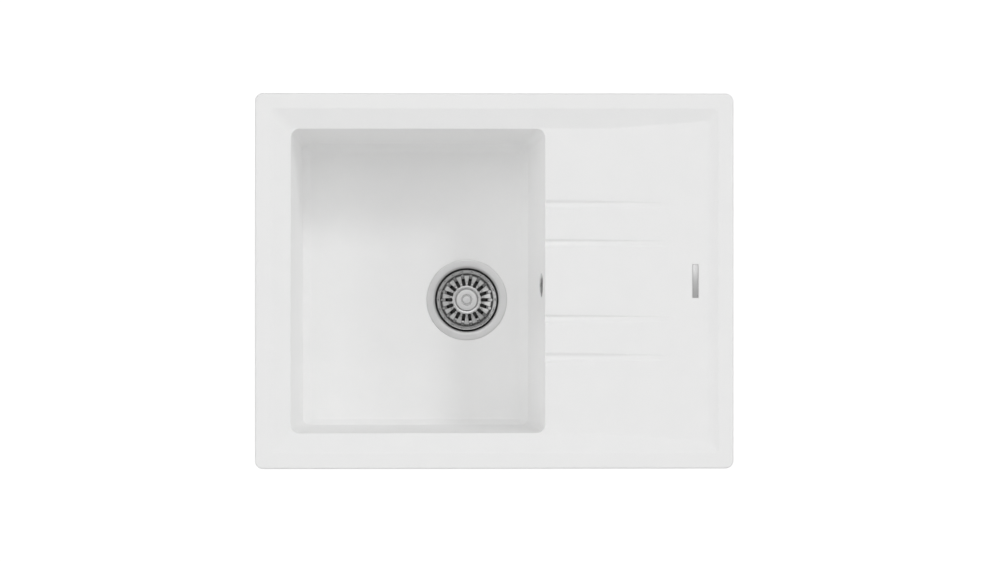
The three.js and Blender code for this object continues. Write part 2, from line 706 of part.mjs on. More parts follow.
// The flange and dish are one pressing, rolled in at the mouth and tapered down to the outlet holes.
function wasteFlange() {
  const roll = Array.from({ length: ARC_STEPS + 1 }, (_, step) => {
    const angle = ((step / ARC_STEPS) * Math.PI) / 2;
    return [DISH_MOUTH_R + DISH_ROLL * (1 - Math.sin(angle)), -DISH_ROLL * (1 - Math.cos(angle))];
  });
  const wallEnd = underside - FIT_GAP;
  const screwHole = CENTRE_SCREW_R + THREAD_GAP;
  const profile = sheetProfile(
    [
      [screwHole, dishFloor],
      [DISH_FLOOR_R, dishFloor],
      [DISH_FLOOR_R + DISH_BEND_RUN, dishFloor + DISH_BEND_RISE],
      [DISH_WALL_R - DISH_WALL_LEAN, wallEnd],
      [DISH_WALL_R, -HOLE_CHAMFER - SEAT_DEPTH],
      ...roll.reverse(),
      [FLANGE_R, 0],
    ],
    FLANGE_SHEET,
  );
  const holes = around(DISH_HOLES, () =>
    cylinder(DISH_HOLE_R, dishFloor - CUT_MARGIN, dishFloor + CUT_MARGIN).translate(DISH_HOLE_RING_R, 0, 0),
  );
  return carve([turned(profile)], holes);
}

const gasketTop = -FLANGE_SHEET - FIT_GAP;
const gasketOuter = FLANGE_R - FLANGE_SHEET / 2;
add(waste, "waste_flange", "satinSteel", wasteFlange());
add(
  waste,
  "flange_gasket",
  "rubber",
  tube(gasketOuter - FLANGE_GASKET_WIDTH, gasketOuter, gasketTop - FLANGE_GASKET_THICKNESS, gasketTop),
);

// The centre screw pulls the waste body up. Its head has the socket that the basket's post stands in.
const headTop = dishFloor + FIT_GAP + CENTRE_HEAD_HEIGHT;
const screwEnd = dishFloor - CENTRE_SCREW_LENGTH;
add(
  waste,
  "waste_centre_screw",
  "polishedSteel",
  turned(
    [
      [0, screwEnd],
      [CENTRE_SCREW_R, screwEnd],
      [CENTRE_SCREW_R, dishFloor + FIT_GAP],
      [CENTRE_HEAD_R, dishFloor + FIT_GAP],
      [CENTRE_HEAD_R, headTop],
      [POST_TIP_R + FIT_GAP, headTop],
      [POST_TIP_R + FIT_GAP, headTop - CENTRE_SOCKET_DEPTH],
      [0, headTop - CENTRE_SOCKET_DEPTH],
    ],
    SMALL_SIDES,
  ),
);

// The basket lifts out with its knob, post and stopper.
function strainerBasket() {
  const floor = -BASKET_DEPTH;
  const hubTop = -HUB_TOP_DROP;
  const profile = sheetProfile(
    [
      [POST_R + FIT_GAP, hubTop],
      [HUB_TOP_R - HUB_TOP_BEND, hubTop],
      [HUB_TOP_R, hubTop - HUB_TOP_BEND],
      [HUB_TOP_R + HUB_SIDE_LEAN, floor + HUB_FOOT_RISE],
      [BASKET_HUB_R, floor],
      [BASKET_FLOOR_R, floor],
      [BASKET_FLOOR_R + BASKET_BEND, floor + BASKET_BEND],
      [SLOT_OUTER_R, -BASKET_SHOULDER_DROP],
      [BASKET_RIM_INNER_R, -BASKET_RIM_DROP],
      [BASKET_RIM_R, -BASKET_RIM_DROP],
    ],
    BASKET_SHEET,
  );
  const slots = around(SLOTS, () =>
    slotPrism(SLOT_INNER_R, SLOT_OUTER_R, SLOT_WIDTH, floor - CUT_MARGIN, -BASKET_RIM_DROP),
  );
  return carve([turned(profile, 2 * SLOTS)], slots);
}

const knobFoot = -HUB_TOP_DROP + FIT_GAP;
const knobTop = knobFoot + KNOB_HEIGHT;
const plateTop = -BASKET_DEPTH - BASKET_SHEET - FIT_GAP;
const plateBottom = plateTop - STOPPER_PLATE;
const skirtBottom = dishFloor + FIT_GAP;
const nutTop = plateBottom - FIT_GAP;
const nutBottom = nutTop - STOPPER_NUT_HEIGHT;
const postHoleR = POST_R + FIT_GAP;
const knobGrooveBottom = knobTop - KNOB_GROOVE_DEPTH;
const bossTop = knobGrooveBottom + KNOB_BOSS_HEIGHT;
add(waste, "strainer_basket", "polishedSteel", strainerBasket());
add(
  waste,
  "basket_knob",
  "satinSteel",
  turned([
    [0, knobFoot],
    [KNOB_R - KNOB_CHAMFER, knobFoot],
    [KNOB_R, knobFoot + KNOB_CHAMFER],
    [KNOB_R, knobTop - KNOB_CHAMFER],
    [KNOB_R - KNOB_CHAMFER, knobTop],
    [KNOB_GROOVE_R + KNOB_GROOVE_LEAN, knobTop],
    [KNOB_GROOVE_R, knobGrooveBottom],
    [KNOB_BOSS_R, knobGrooveBottom],
    [KNOB_BOSS_R, bossTop],
    [0, bossTop],
  ]),
);
const postEnd = headTop - CENTRE_SOCKET_DEPTH + FIT_GAP;
add(
  waste,
  "basket_post",
  "polishedSteel",
  turned(
    [
      [0, postEnd],
      [POST_TIP_R - POST_TIP_CHAMFER, postEnd],
      [POST_TIP_R, postEnd + POST_TIP_CHAMFER],
      [POST_TIP_R, nutBottom],
      [POST_R, nutBottom],
      [POST_R, knobFoot - FIT_GAP],
      [0, knobFoot - FIT_GAP],
    ],
    SMALL_SIDES,
  ),
);
add(
  waste,
  "basket_stopper",
  "rubber",
  turned([
    [postHoleR, plateBottom],
    [STOPPER_SKIRT_INNER_R, plateBottom],
    [STOPPER_SKIRT_INNER_R, skirtBottom],
    [STOPPER_R, skirtBottom],
    [STOPPER_R, skirtBottom + STOPPER_LIP_HEIGHT],
    [STOPPER_R - STOPPER_WAIST, plateTop],
    [postHoleR, plateTop],
    [postHoleR, plateBottom],
  ]),
);
add(
  waste,
  "stopper_nut",
  "zincSteel",
  carve(
    [cylinder(STOPPER_NUT_R, nutBottom, nutTop, HEX)],
    [cylinder(postHoleR, nutBottom - CUT_MARGIN, nutTop + CUT_MARGIN)],
  ),
);

// The waste body clamps the bowl's floor from below, and takes in the overflow.
const bodyTop = BODY_TOP - FLANGE_TOP_Z;
const cupBottom = bodyTop - BODY_CUP_DEPTH;
const coneBottom = cupBottom - BODY_CONE_DEPTH;
const outletBottom = coneBottom - OUTLET_LENGTH;
const outletR = OUTLET_D / 2;
const bodyHubTop = dishFloor - FLANGE_SHEET - FIT_GAP;
const bodyHubBottom = coneBottom - BODY_ARM_WIDTH;
const spigotZ = SPIGOT_Z - FLANGE_TOP_Z;
const spigotStart = BODY_INNER_R + BODY_WALL;
const spigotEnd = spigotStart + SPIGOT_LENGTH;
const elbowTip = new THREE.Vector3(-ELBOW_OUTLET_REACH, 0, elbowAxis).applyMatrix4(overflowFrame().matrix);
const towardsOverflow = Math.atan2(OVERFLOW_Y - drain.y, elbowTip.x - drain.x);

function wasteBody() {
  const shell = turned([
    [BODY_INNER_R, bodyTop],
    [BODY_INNER_R, cupBottom],
    [OUTLET_BORE_R, coneBottom],
    [OUTLET_BORE_R, outletBottom],
    [outletR, outletBottom],
    [outletR, coneBottom - BODY_WALL],
    [BODY_INNER_R + BODY_WALL, cupBottom - BODY_WALL],
    [BODY_INNER_R + BODY_WALL, bodyTop - BODY_FLANGE_THICKNESS],
    [BODY_FLANGE_R, bodyTop - BODY_FLANGE_THICKNESS],
    [BODY_FLANGE_R, bodyTop],
    [BODY_INNER_R, bodyTop],
  ]);
  const hub = cylinder(BODY_HUB_R, bodyHubBottom, bodyHubTop);
  const arms = around(BODY_ARMS, () => {
    const half = BODY_ARM_WIDTH / 2;
    return block(BODY_HUB_R - FUSE, OUTLET_BORE_R + FUSE, -half, half, bodyHubBottom, coneBottom);
  });
  const spigot = cylinder(SPIGOT_R, spigotStart - FUSE, spigotEnd);
  const spigotBore = cylinder(SPIGOT_BORE_R, BODY_INNER_R - CUT_MARGIN, spigotEnd + CUT_MARGIN);
  const across = (geometry) =>
    geometry.rotateY(Math.PI / 2).rotateZ(towardsOverflow).translate(0, 0, spigotZ);
  const insertHole = cylinder(
    CENTRE_SCREW_R + INSERT_WALL + 2 * THREAD_GAP,
    bodyHubBottom - CUT_MARGIN,
    bodyHubTop + CUT_MARGIN,
  );
  return carve([shell, hub, ...arms, across(spigot)], [across(spigotBore), insertHole]);
}

add(waste, "waste_body", "whitePlastic", wasteBody());
add(
  waste,
  "waste_body_gasket",
  "rubber",
  tube(
    BODY_INNER_R,
    BODY_FLANGE_R - SEAL_SETBACK,
    bodyTop + FIT_GAP,
    bodyTop + FIT_GAP + BODY_GASKET_THICKNESS,
  ),
);
add(
  waste,
  "screw_insert",
  "brass",
  tube(
    CENTRE_SCREW_R + THREAD_GAP,
    CENTRE_SCREW_R + THREAD_GAP + INSERT_WALL,
    bodyHubBottom,
    bodyHubTop,
    SMALL_SIDES,
  ),
);

// ---------------------------------------------------------------------------------------------------
// Overflow, square to the bowl's right wall. In its own frame +Z points into the bowl and -X down

const overflow = overflowFrame();
sink.add(overflow);
const screwClearance = COVER_SCREW_R + THREAD_GAP;
const screwEndZ = coverTop - COVER_SCREW_LENGTH;

function overflowCover() {
  const slotBack = coverBack - CUT_MARGIN;
  const slotFront = coverTop + CUT_MARGIN;
  const slots = around(COVER_SLOTS, () =>
    slotPrism(COVER_SLOT_INNER_R, COVER_SLOT_OUTER_R, COVER_SLOT_WIDTH, slotBack, slotFront),
  );
  const cover = turned([
    [screwClearance, coverBack],
    [COVER_R, coverBack],
    [COVER_R, coverBack + COVER_THICKNESS / 2],
    [COVER_R - COVER_CHAMFER, coverTop],
    [screwClearance, coverTop],
    [screwClearance, coverBack],
  ]);
  return carve([cover], slots);
}

function overflowElbow() {
  const flangeBack = elbowFront - ELBOW_FLANGE_THICKNESS;
  const flange = cylinder(ELBOW_FLANGE_R, flangeBack, elbowFront, ROUND_SIDES / 2);
  const body = cylinder(ELBOW_BODY_R, elbowBack, flangeBack + FUSE, ROUND_SIDES / 2);
  const chamber = cylinder(
    ELBOW_BODY_R - ELBOW_WALL,
    elbowBack + ELBOW_WALL,
    elbowFront + CUT_MARGIN,
    ROUND_SIDES / 2,
  );
  const boss = cylinder(ELBOW_BOSS_R, elbowBack + ELBOW_WALL / 2, elbowFront);
  const bossHole = cylinder(screwClearance, screwEndZ - COVER_SCREW_SPARE, elbowFront + CUT_MARGIN);
  const down = (geometry) => geometry.rotateY(-Math.PI / 2).translate(0, 0, elbowAxis);
  const spigot = down(cylinder(SPIGOT_R, ELBOW_BODY_R - ELBOW_WALL, ELBOW_OUTLET_REACH));
  const spigotBore = down(cylinder(SPIGOT_BORE_R, ELBOW_BOSS_R, ELBOW_OUTLET_REACH + CUT_MARGIN));
  const shell = carve([flange, body, spigot], [chamber, spigotBore]);
  return carve([shell, boss], [bossHole]);
}

add(overflow, "overflow_cover", "polishedSteel", overflowCover());
add(
  overflow,
  "overflow_cover_seal",
  "foam",
  tube(
    OVERFLOW_HOLE_R,
    COVER_R - SEAL_SETBACK,
    FIT_GAP,
    FIT_GAP + COVER_SEAL_THICKNESS,
    ROUND_SIDES / 2,
  ),
);
const coverScrewHead = coverTop + FIT_GAP;
add(
  overflow,
  "overflow_screw",
  "polishedSteel",
  turned(
    [
      [0, screwEndZ],
      [COVER_SCREW_R, screwEndZ],
      [COVER_SCREW_R, coverScrewHead],
      [COVER_SCREW_HEAD_R, coverScrewHead],
      [COVER_SCREW_HEAD_R - HEAD_CHAMFER, coverScrewHead + COVER_SCREW_HEAD_HEIGHT],
      [0, coverScrewHead + COVER_SCREW_HEAD_HEIGHT],
    ],
    SMALL_SIDES,
  ),
);
add(
  overflow,
  "overflow_gasket",
  "rubber",
  tube(
    OVERFLOW_HOLE_R,
    ELBOW_FLANGE_R,
    gasketFront - OVERFLOW_GASKET_THICKNESS,
    gasketFront,
    ROUND_SIDES / 2,
  ),
);
add(overflow, "overflow_elbow", "whitePlastic", overflowElbow());

// ---------------------------------------------------------------------------------------------------
// Ribbed hose from the overflow elbow down to the waste body, with a nut at each end

const up = new THREE.Vector3(1, 0, 0).transformDirection(overflow.matrix);
const outward = new THREE.Vector3(Math.cos(towardsOverflow), Math.sin(towardsOverflow), 0);
const hoseUpperEnd = elbowTip.clone().addScaledVector(up, HOSE_OVERLAP);
const hoseLowerEnd = new THREE.Vector3(drain.x, drain.y, SPIGOT_Z);
hoseLowerEnd.addScaledVector(outward, spigotEnd - HOSE_OVERLAP);

function hosePath() {
  const bendStart = hoseUpperEnd.clone().addScaledVector(up, -HOSE_STRAIGHT);
  const bendEnd = hoseLowerEnd.clone().addScaledVector(outward, HOSE_STRAIGHT);
  const handleStart = bendStart.clone().addScaledVector(up, -HOSE_BEND_REACH);
  const handleEnd = bendEnd.clone().addScaledVector(outward, HOSE_BEND_REACH);
  const path = new THREE.CurvePath();
  path.add(new THREE.LineCurve3(hoseUpperEnd, bendStart));
  path.add(new THREE.CubicBezierCurve3(bendStart, handleStart, handleEnd, bendEnd));
  path.add(new THREE.LineCurve3(bendEnd, hoseLowerEnd));
  return path;
}

// A closed ribbed tube: two rings of points for each rib outside, and plain rings in the bore.
function ribbedHose() {
  const path = hosePath();
  const ribs = Math.round(path.getLength() / HOSE_RIB_PITCH);
  const steps = 2 * ribs;
  const side = new THREE.Vector3();
  const ringAt = (step, radius) => {
    const centre = path.getPointAt(step / steps);
    const along = path.getTangentAt(step / steps);
    if (!side.length()) side.set(0, 1, 0);
    side.addScaledVector(along, -side.dot(along)).normalize();
    const across = along.clone().cross(side);
    return Array.from({ length: HOSE_SIDES }, (_, i) => {
      const angle = (i * 2 * Math.PI) / HOSE_SIDES;
      const point = centre.clone().addScaledVector(side, radius * Math.cos(angle));
      return point.addScaledVector(across, radius * Math.sin(angle));
    });
  };
  const rings = [];
  for (let step = 0; step <= steps; step++) {
    rings.push(ringAt(step, step % 2 ? HOSE_RIB_R : HOSE_VALLEY_R));
  }
  const boreStride = 2 * RIBS_PER_BORE_RING;
  for (let step = steps; step > 0; step -= boreStride) {
    rings.push(ringAt(step, HOSE_BORE_R));
  }
  rings.push(ringAt(0, HOSE_BORE_R));
  const vertices = rings.flat();
  const faces = [];
  rings.forEach((_, level) => {
    for (let i = 0; i < HOSE_SIDES; i++) {
      const next = (i + 1) % HOSE_SIDES;
      const above = ((level + 1) % rings.length) * HOSE_SIDES;
      const a = level * HOSE_SIDES;
      faces.push(a + i, a + next, above + next, a + i, above + next, above + i);
    }
  });
  return meshGeometry(vertices, faces);
}

// A nut slipped over a hose end, with a lip that closes in behind the spigot's end of the hose.
function hoseNut(at, direction) {
  const inner = (HOSE_RIB_R + FIT_GAP) / Math.cos(Math.PI / NUT_SIDES); // the flats clear the ribs
  const lip = (SPIGOT_R + FIT_GAP) / Math.cos(Math.PI / NUT_SIDES);
  const top = FIT_GAP;
  const nut = turned(
    [
      [lip, top],
      [lip, top + NUT_LIP],
      [inner + NUT_WALL, top + NUT_LIP],
      [inner + NUT_WALL, top + NUT_LIP - NUT_LENGTH],
      [inner, top + NUT_LIP - NUT_LENGTH],
      [inner, top],
      [lip, top],
    ],
    NUT_SIDES,
  );
  const turn = new THREE.Quaternion().setFromUnitVectors(new THREE.Vector3(0, 0, 1), direction);
  return nut.applyQuaternion(turn).translate(at.x, at.y, at.z);
}

add(sink, "overflow_hose", "whitePlastic", ribbedHose());
add(sink, "hose_nut_upper", "whitePlastic", hoseNut(hoseUpperEnd, up));
add(sink, "hose_nut_lower", "whitePlastic", hoseNut(hoseLowerEnd, outward.clone().negate()));

// ---------------------------------------------------------------------------------------------------
// Worktop clips. In a clip's frame +X points out of the sink, and the rim's outer edge is at X = 0

const screwX = -CLIP_SCREW_INSET;
const plateFront = plateBack + BRACKET_SHEET;
const clearHole = CLIP_SCREW_R + THREAD_GAP;

function clipBracket() {
  const half = EAR_WIDTH / 2;
  const earTip = screwX + EAR_REACH;
  const ear = (z0) => block(plateBack, earTip, -half, half, z0, z0 + BRACKET_SHEET);
  const screwHole = cylinder(clearHole, BRACKET_BOTTOM - CUT_MARGIN, CUT_MARGIN).translate(screwX, 0, 0);
  const fixingHole = cylinder(FIXING_R + THREAD_GAP, -CUT_MARGIN, CUT_MARGIN).rotateY(Math.PI / 2);
  fixingHole.translate(plateFront, PLATE_FIXING_Y, PLATE_FIXING_Z);
  return carve(
    [
      block(plateBack, plateFront, -half, half, BRACKET_BOTTOM, BRACKET_TOP),
      block(plateBack, plateFront, PLATE_END_Y, half, PLATE_WIDE_BOTTOM, BRACKET_TOP),
      ear(BRACKET_BOTTOM),
      ear(BRACKET_TOP - BRACKET_SHEET),
    ],
    [screwHole, fixingHole],
  );
}

function bracketFixing() {
  const screw = turned(
    [
      [0, -FIXING_LENGTH],
      [FIXING_R, -FIXING_LENGTH],
      [FIXING_R, FIT_GAP],
      [FIXING_HEAD_R, FIT_GAP],
      [FIXING_HEAD_R - HEAD_CHAMFER, FIT_GAP + FIXING_HEAD_HEIGHT],
      [0, FIT_GAP + FIXING_HEAD_HEIGHT],
    ],
    SMALL_SIDES,
  );
  return screw.rotateY(Math.PI / 2).translate(plateFront, PLATE_FIXING_Y, PLATE_FIXING_Z);
}

function clipScrew() {
  const headTopZ = BRACKET_BOTTOM - FIT_GAP;
  const screw = turned(
    [
      [0, headTopZ - CLIP_HEAD_HEIGHT],
      [CLIP_HEAD_R, headTopZ - CLIP_HEAD_HEIGHT],
      [CLIP_HEAD_R, headTopZ],
      [CLIP_SCREW_R, headTopZ],
      [CLIP_SCREW_R, CLIP_SCREW_TOP],
      [0, CLIP_SCREW_TOP],
    ],
    SMALL_SIDES,
  );
  return screw.translate(screwX, 0, 0);
}

function clipClaw() {
  const half = CLAW_ARM_WIDTH / 2;
  const armTop = CLAW_TOP - CLAW_TOOTH;
  const hubBottom = CLAW_TOP - CLAW_HUB_HEIGHT;
  const claw = carve(
    [
      cylinder(CLAW_HUB_R, hubBottom, armTop),
      block(0, CLAW_REACH, -half, half, armTop - CLAW_ARM_THICKNESS, armTop),
      block(CLAW_REACH - CLAW_TOOTH, CLAW_REACH, -half, half, armTop - FUSE, CLAW_TOP),
    ],
    [cylinder(clearHole, hubBottom - CUT_MARGIN, CLAW_TOP + CUT_MARGIN)],
  );
  return claw.translate(screwX, 0, 0);
}

clipPlaces.forEach((place) => {
  const clip = clipFrame(place);
  sink.add(clip);
  add(clip, `clip_bracket_${place.name}`, "zincSteel", clipBracket());
  add(clip, `bracket_fixing_${place.name}`, "zincSteel", bracketFixing());
  add(clip, `clip_screw_${place.name}`, "zincSteel", clipScrew());
  add(clip, `clip_claw_${place.name}`, "zincSteel", clipClaw());
});

export default sink;
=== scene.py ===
"""Looks of an inset kitchen sink with one bowl and a drainboard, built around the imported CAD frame.

Sizes are in millimetres and are scaled to metres when a mesh is made. +Z is up, +X points to the
drainboard and +Y to the back of the worktop, as in the CAD part.
"""

import math
from collections import namedtuple

import bmesh
import bpy
import numpy as np
from mathutils import Matrix, Vector

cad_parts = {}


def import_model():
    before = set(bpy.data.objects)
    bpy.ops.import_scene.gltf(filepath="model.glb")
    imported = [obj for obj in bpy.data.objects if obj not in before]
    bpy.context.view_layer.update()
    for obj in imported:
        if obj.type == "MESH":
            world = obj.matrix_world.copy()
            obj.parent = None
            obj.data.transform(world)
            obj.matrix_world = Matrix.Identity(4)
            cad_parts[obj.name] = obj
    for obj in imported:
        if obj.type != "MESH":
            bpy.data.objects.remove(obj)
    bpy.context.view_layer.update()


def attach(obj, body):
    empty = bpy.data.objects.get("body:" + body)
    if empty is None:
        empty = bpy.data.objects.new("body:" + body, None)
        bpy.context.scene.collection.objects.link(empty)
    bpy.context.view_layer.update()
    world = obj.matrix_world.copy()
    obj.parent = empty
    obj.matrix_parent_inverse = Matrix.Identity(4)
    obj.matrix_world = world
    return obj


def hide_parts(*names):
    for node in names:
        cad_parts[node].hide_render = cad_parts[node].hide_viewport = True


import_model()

MM = 0.001
TAU = 2 * math.pi
GAP = 0.3  # between pieces that touch
Rect = namedtuple("Rect", "x0 x1 y0 y1 r")  # seen from above, with rounded corners

## Sizes of the basin. They are the CAD part's, but its grooves are deeper here and have other slopes.

RIM = Rect(-325, 325, -255, 255, 11)
RIM_TOP = 8.5
RIM_EDGE_R = 2.5
BAND_TOP = Rect(-304, 304, -234, 234, 0)
BAND_DROP = 9
BAND_SLOPE = BAND_DROP / 26
BAND_SLOPE_RIGHT = BAND_DROP / 14.7
BOARD_Z = RIM_TOP - BAND_DROP
BOARD_UNDERSIDE = BOARD_Z - 9
RAMP_START = 157
RAMP_SLOPE = math.tan(math.radians(1.5))
OPENING = Rect(-278, 70, -208, 208, 13.2)
BOWL_EDGE = 1.2
WALL_TOP = Rect(-276.8, 68.8, -206.8, 206.8, 12)
FOOT = Rect(-270, 51, -204.8, 195, 11)
FLOOR_EDGE = Rect(-260, 40, -197.3, 183, 5)
FOOT_Z = -181
FLOOR_EDGE_Z = -190
DRAIN_Z = -191.5
FLOOR_UNDERSIDE = -200.5
TRAY = Rect(-311, 311, -241, 241, 14)
WALL = 8
DRAIN = (-36.5, -27)
SEAT_R = 57.3
SEAT_Z = -193.5
HOLE_R = 45
CHAMFER = 4.2
GROOVES = [  # Y, width and width of the rear slope, all at the bowl
    (-104.4, 12.8, 3.7),
    (-51.7, 11.2, 2.8),
    (51.1, 11.2, 2.8),
    (103.6, 12.8, 3.7),
]
GROOVE_FRONT_SLOPE = 4.2
GROOVE_END = 241  # X where a groove has run out to nothing
GROOVE_END_WIDTH = 7.5
GROOVE_END_SLOPES = (1.6, 1.2)  # front and rear
GROOVE_SOFTENING = 0.3  # of a slope's foot and shoulder, as a share of its width
GROOVE_DEPTH = 4
GROOVE_MARGIN = 0.3  # by which the softened shoulders widen a groove to either side
GROOVE_ZONE = 180  # |Y| up to which the rings' points follow the grooves
SEAL_GROOVE = (3.7, 9.3)  # from the rim's outer edge
SEAL_GROOVE_INNER_R = 7.3
SEAL_Z = 1.5
LUG = (-42, -28, -24, 24)  # a clip's lug in the clip's frame: X, then Y
FIXING = (-14, -24)  # Y and Z of a bracket's fixing screw
TAP_RECESSES = [(112, -165), (112, 165)]
TAP_RECESS_R = 17.5
PLATE_HALF = (4, 22.75)


def grown(rect, by):
    """The rounded rectangle with its sides moved out by a distance."""
    return Rect(rect.x0 - by, rect.x1 + by, rect.y0 - by, rect.y1 + by, rect.r + by)


def between(a, b, t):
    return a + (b - a) * t


def mixed(a, b, t):
    return Rect(*(between(start, end, t) for start, end in zip(a, b)))


## Meshes


def mesh_from(name, vertices, faces):
    """A mesh in metres from points in millimetres."""
    mesh = bpy.data.meshes.new(name)
    mesh.from_pydata((np.asarray(vertices, float) * MM).tolist(), [], faces)
    mesh.validate()
    return mesh


def recalculated(mesh):
    made = bmesh.new()
    made.from_mesh(mesh)
    bmesh.ops.remove_doubles(made, verts=made.verts, dist=1e-7)
    bmesh.ops.recalc_face_normals(made, faces=made.faces)
    made.to_mesh(mesh)
    made.free()
    return mesh


def linked(name, data):
    piece = bpy.data.objects.new(name, data)
    bpy.context.scene.collection.objects.link(piece)
    return piece


def skin(name, vertices, faces):
    return linked(name, recalculated(mesh_from(name, vertices, faces)))


def applied(piece):
    """The piece with its modifiers made part of its mesh."""
    bpy.context.view_layer.update()
    evaluated = piece.evaluated_get(bpy.context.evaluated_depsgraph_get())
    mesh = bpy.data.meshes.new_from_object(evaluated)
    piece.modifiers.clear()
    piece.data = mesh
    return piece


def boolean(piece, others, operation):
    """The piece joined with, or cut by, the other objects, which are used up."""
    for other in others:
        step = piece.modifiers.new(operation.lower(), "BOOLEAN")
        step.operation = operation
        step.solver = "EXACT"
        step.object = other
    applied(piece)
    for other in others:
        bpy.data.objects.remove(other)
    return piece


def fused(piece, *others):
    return boolean(piece, others, "UNION")


def cut(piece, *others):
    return boolean(piece, others, "DIFFERENCE")


def bevelled(piece, width, segments=2):
    step = piece.modifiers.new("edge", "BEVEL")
    step.width = width * MM
    step.segments = segments
    step.limit_method = "ANGLE"
    step.angle_limit = math.radians(40)
    return applied(piece)


def ring_piece(name, rings):
    """A closed skin over rings of equally many points, of which the last joins the first."""
    count = len(rings[0])
    faces = []
    for level in range(len(rings)):
        here = level * count
        above = (level + 1) % len(rings) * count
        for i in range(count):
            j = (i + 1) % count
            faces.append((here + i, here + j, above + j, above + i))
    return skin(name, np.concatenate(rings), faces)


def rounded(points, closed=False, step=15):
    """A polyline with arcs at the corners that carry a radius as their third value."""
    count = len(points)
    path = []
    for i, point in enumerate(points):
        radius = point[2] if len(point) > 2 else 0
        here = np.array(point[:2], float)
        if not radius or (not closed and i in (0, count - 1)):
            path.append(here)
            continue
        before = np.array(points[i - 1][:2], float) - here
        after = np.array(points[(i + 1) % count][:2], float) - here
        room = 0.49 * min(np.linalg.norm(before), np.linalg.norm(after))
        before /= np.linalg.norm(before)
        after /= np.linalg.norm(after)
        half = math.acos(np.clip(before @ after, -1, 1)) / 2
        back = min(radius / math.tan(half), room)
        radius = back * math.tan(half)
        bisector = (before + after) / np.linalg.norm(before + after)
        centre = here + bisector * radius / math.sin(half)
        turn = math.pi - 2 * half
        steps = max(2, round(math.degrees(turn) / step))
        first = here + before * back - centre
        last = here + after * back - centre
        sine = math.sin(turn)
        for k in range(steps + 1):
            t = k / steps
            path.append(centre + (math.sin((1 - t) * turn) * first + math.sin(t * turn) * last) / sine)
    return path


def sheet_loop(path, thickness):
    """The closed outline of a bent sheet that lies to the right of a polyline."""
    path = np.array(path)
    along = np.diff(path, axis=0)
    along /= np.linalg.norm(along, axis=1)[:, None]
    normal = np.stack([along[:, 1], -along[:, 0]], 1)
    before = np.vstack([normal[:1], normal])
    after = np.vstack([normal, normal[-1:]])
    mitre = before + after
    mitre /= np.linalg.norm(mitre, axis=1)[:, None]
    other = path + mitre * (thickness / (mitre * after).sum(1))[:, None]
    return list(path) + list(other[::-1])


def lathe(name, profile, steps=96, radius_at=None):
    """The profile of (radius, z) turned about Z. It closes itself unless it starts on the axis."""
    profile = [np.array(p[:2], float) for p in profile]
    angles = np.arange(steps) * TAU / steps
    vertices, rows = [], []
    for radius, z in profile:
        if radius < 1e-6:
            rows.append([len(vertices)])
            vertices.append((0, 0, z))
            continue
        rows.append(list(range(len(vertices), len(vertices) + steps)))
        for angle in angles:
            r = radius if radius_at is None else radius_at(radius, z, angle)
            vertices.append((r * math.cos(angle), r * math.sin(angle), z))
    faces = []
    closed = profile[0][0] > 0
    for low, high in zip(rows, rows[1:] + rows[:1] if closed else rows[1:]):
        for i in range(steps):
            j = (i + 1) % steps
            corners = [low[i % len(low)], low[j % len(low)], high[j % len(high)], high[i % len(high)]]
            faces.append(tuple(dict.fromkeys(corners)))
    return skin(name, vertices, faces)


def screw_thread(z0, z1, pitch, depth, radii):
    """radius_at for lathe: a thread between two heights, on what lies between two radii.

    It runs out at both ends."""

    def radius_at(radius, z, angle):
        if not (z0 <= z <= z1 and radii[0] < radius < radii[1]):
            return radius
        phase = (z / pitch - angle / TAU) % 1
        fade = min(1, (z - z0) / pitch, (z1 - z) / pitch)
        return radius - depth * fade * min(1, abs(2 * phase - 1) * 1.25)

    return radius_at


def shaft(radius, z0, z1, step):
    """The points of a profile between two heights, close enough for a thread."""
    count = round((z1 - z0) / step)
    return [(radius, z0 + (z1 - z0) * i / count) for i in range(count + 1)]


EDGE_STEPS = (0.25, 0.55)  # how far from a slot's edge the sheet's first points lie


def slotted_sheet(name, path, thickness, count, half_width, inner, outer, columns, dimple=None):
    """A turned sheet with radial slots.

    path is its upper side as (radius, z), outwards. dimple gives a height to add at a radius and a distance
    from the nearest slot's middle line."""
    path = np.array(path)
    radii = path[:, 0]
    tips = []
    for step in range(7):
        angle = step / 6 * math.pi / 2
        back, side = half_width * (1 - math.cos(angle)), half_width * math.sin(angle)
        tips += [(inner + back, side), (outer - back, side)]
    tips += [(inner - away, 0) for away in EDGE_STEPS] + [(outer + away, 0) for away in EDGE_STEPS]
    tip_radii = [tip[0] for tip in tips]
    rows = [(r, None) for r in radii if min(abs(r - t) for t in tip_radii) > 0.12]
    rows = sorted(rows + tips, key=lambda row: row[0])
    pitch = TAU / count
    vertices, faces = [], []
    for sector in range(count):
        for side in (-1, 1):
            start = len(vertices)
            for r, half in rows:
                if half is None:
                    half = half_width if inner < r < outer else 0
                z = np.interp(r, radii, path[:, 1])
                edge = math.asin(half / r) if half else 0
                near = [edge] + [edge + away / r for away in EDGE_STEPS]
                for angle in near + list(np.linspace(near[-1], pitch / 2, columns - 1)[1:]):
                    lift = dimple(r, angle * r) if dimple else 0
                    turn = sector * pitch + side * angle
                    vertices.append((r * math.cos(turn), r * math.sin(turn), z + lift))
            for i in range(len(rows) - 1):
                for j in range(columns):
                    a = start + i * (columns + 1) + j
                    quad = (a, a + columns + 1, a + columns + 2, a + 1)
                    faces.append(quad if side < 0 else quad[::-1])
    mesh = recalculated(mesh_from(name, vertices, faces))
    top = max(mesh.polygons, key=lambda face: face.area)
    if top.normal.z < 0:
        mesh.flip_normals()
    piece = linked(name, mesh)
    solid = piece.modifiers.new("thickness", "SOLIDIFY")
    solid.thickness = thickness * MM
    solid.offset = -1
    solid.use_even_offset = True
    return applied(piece)


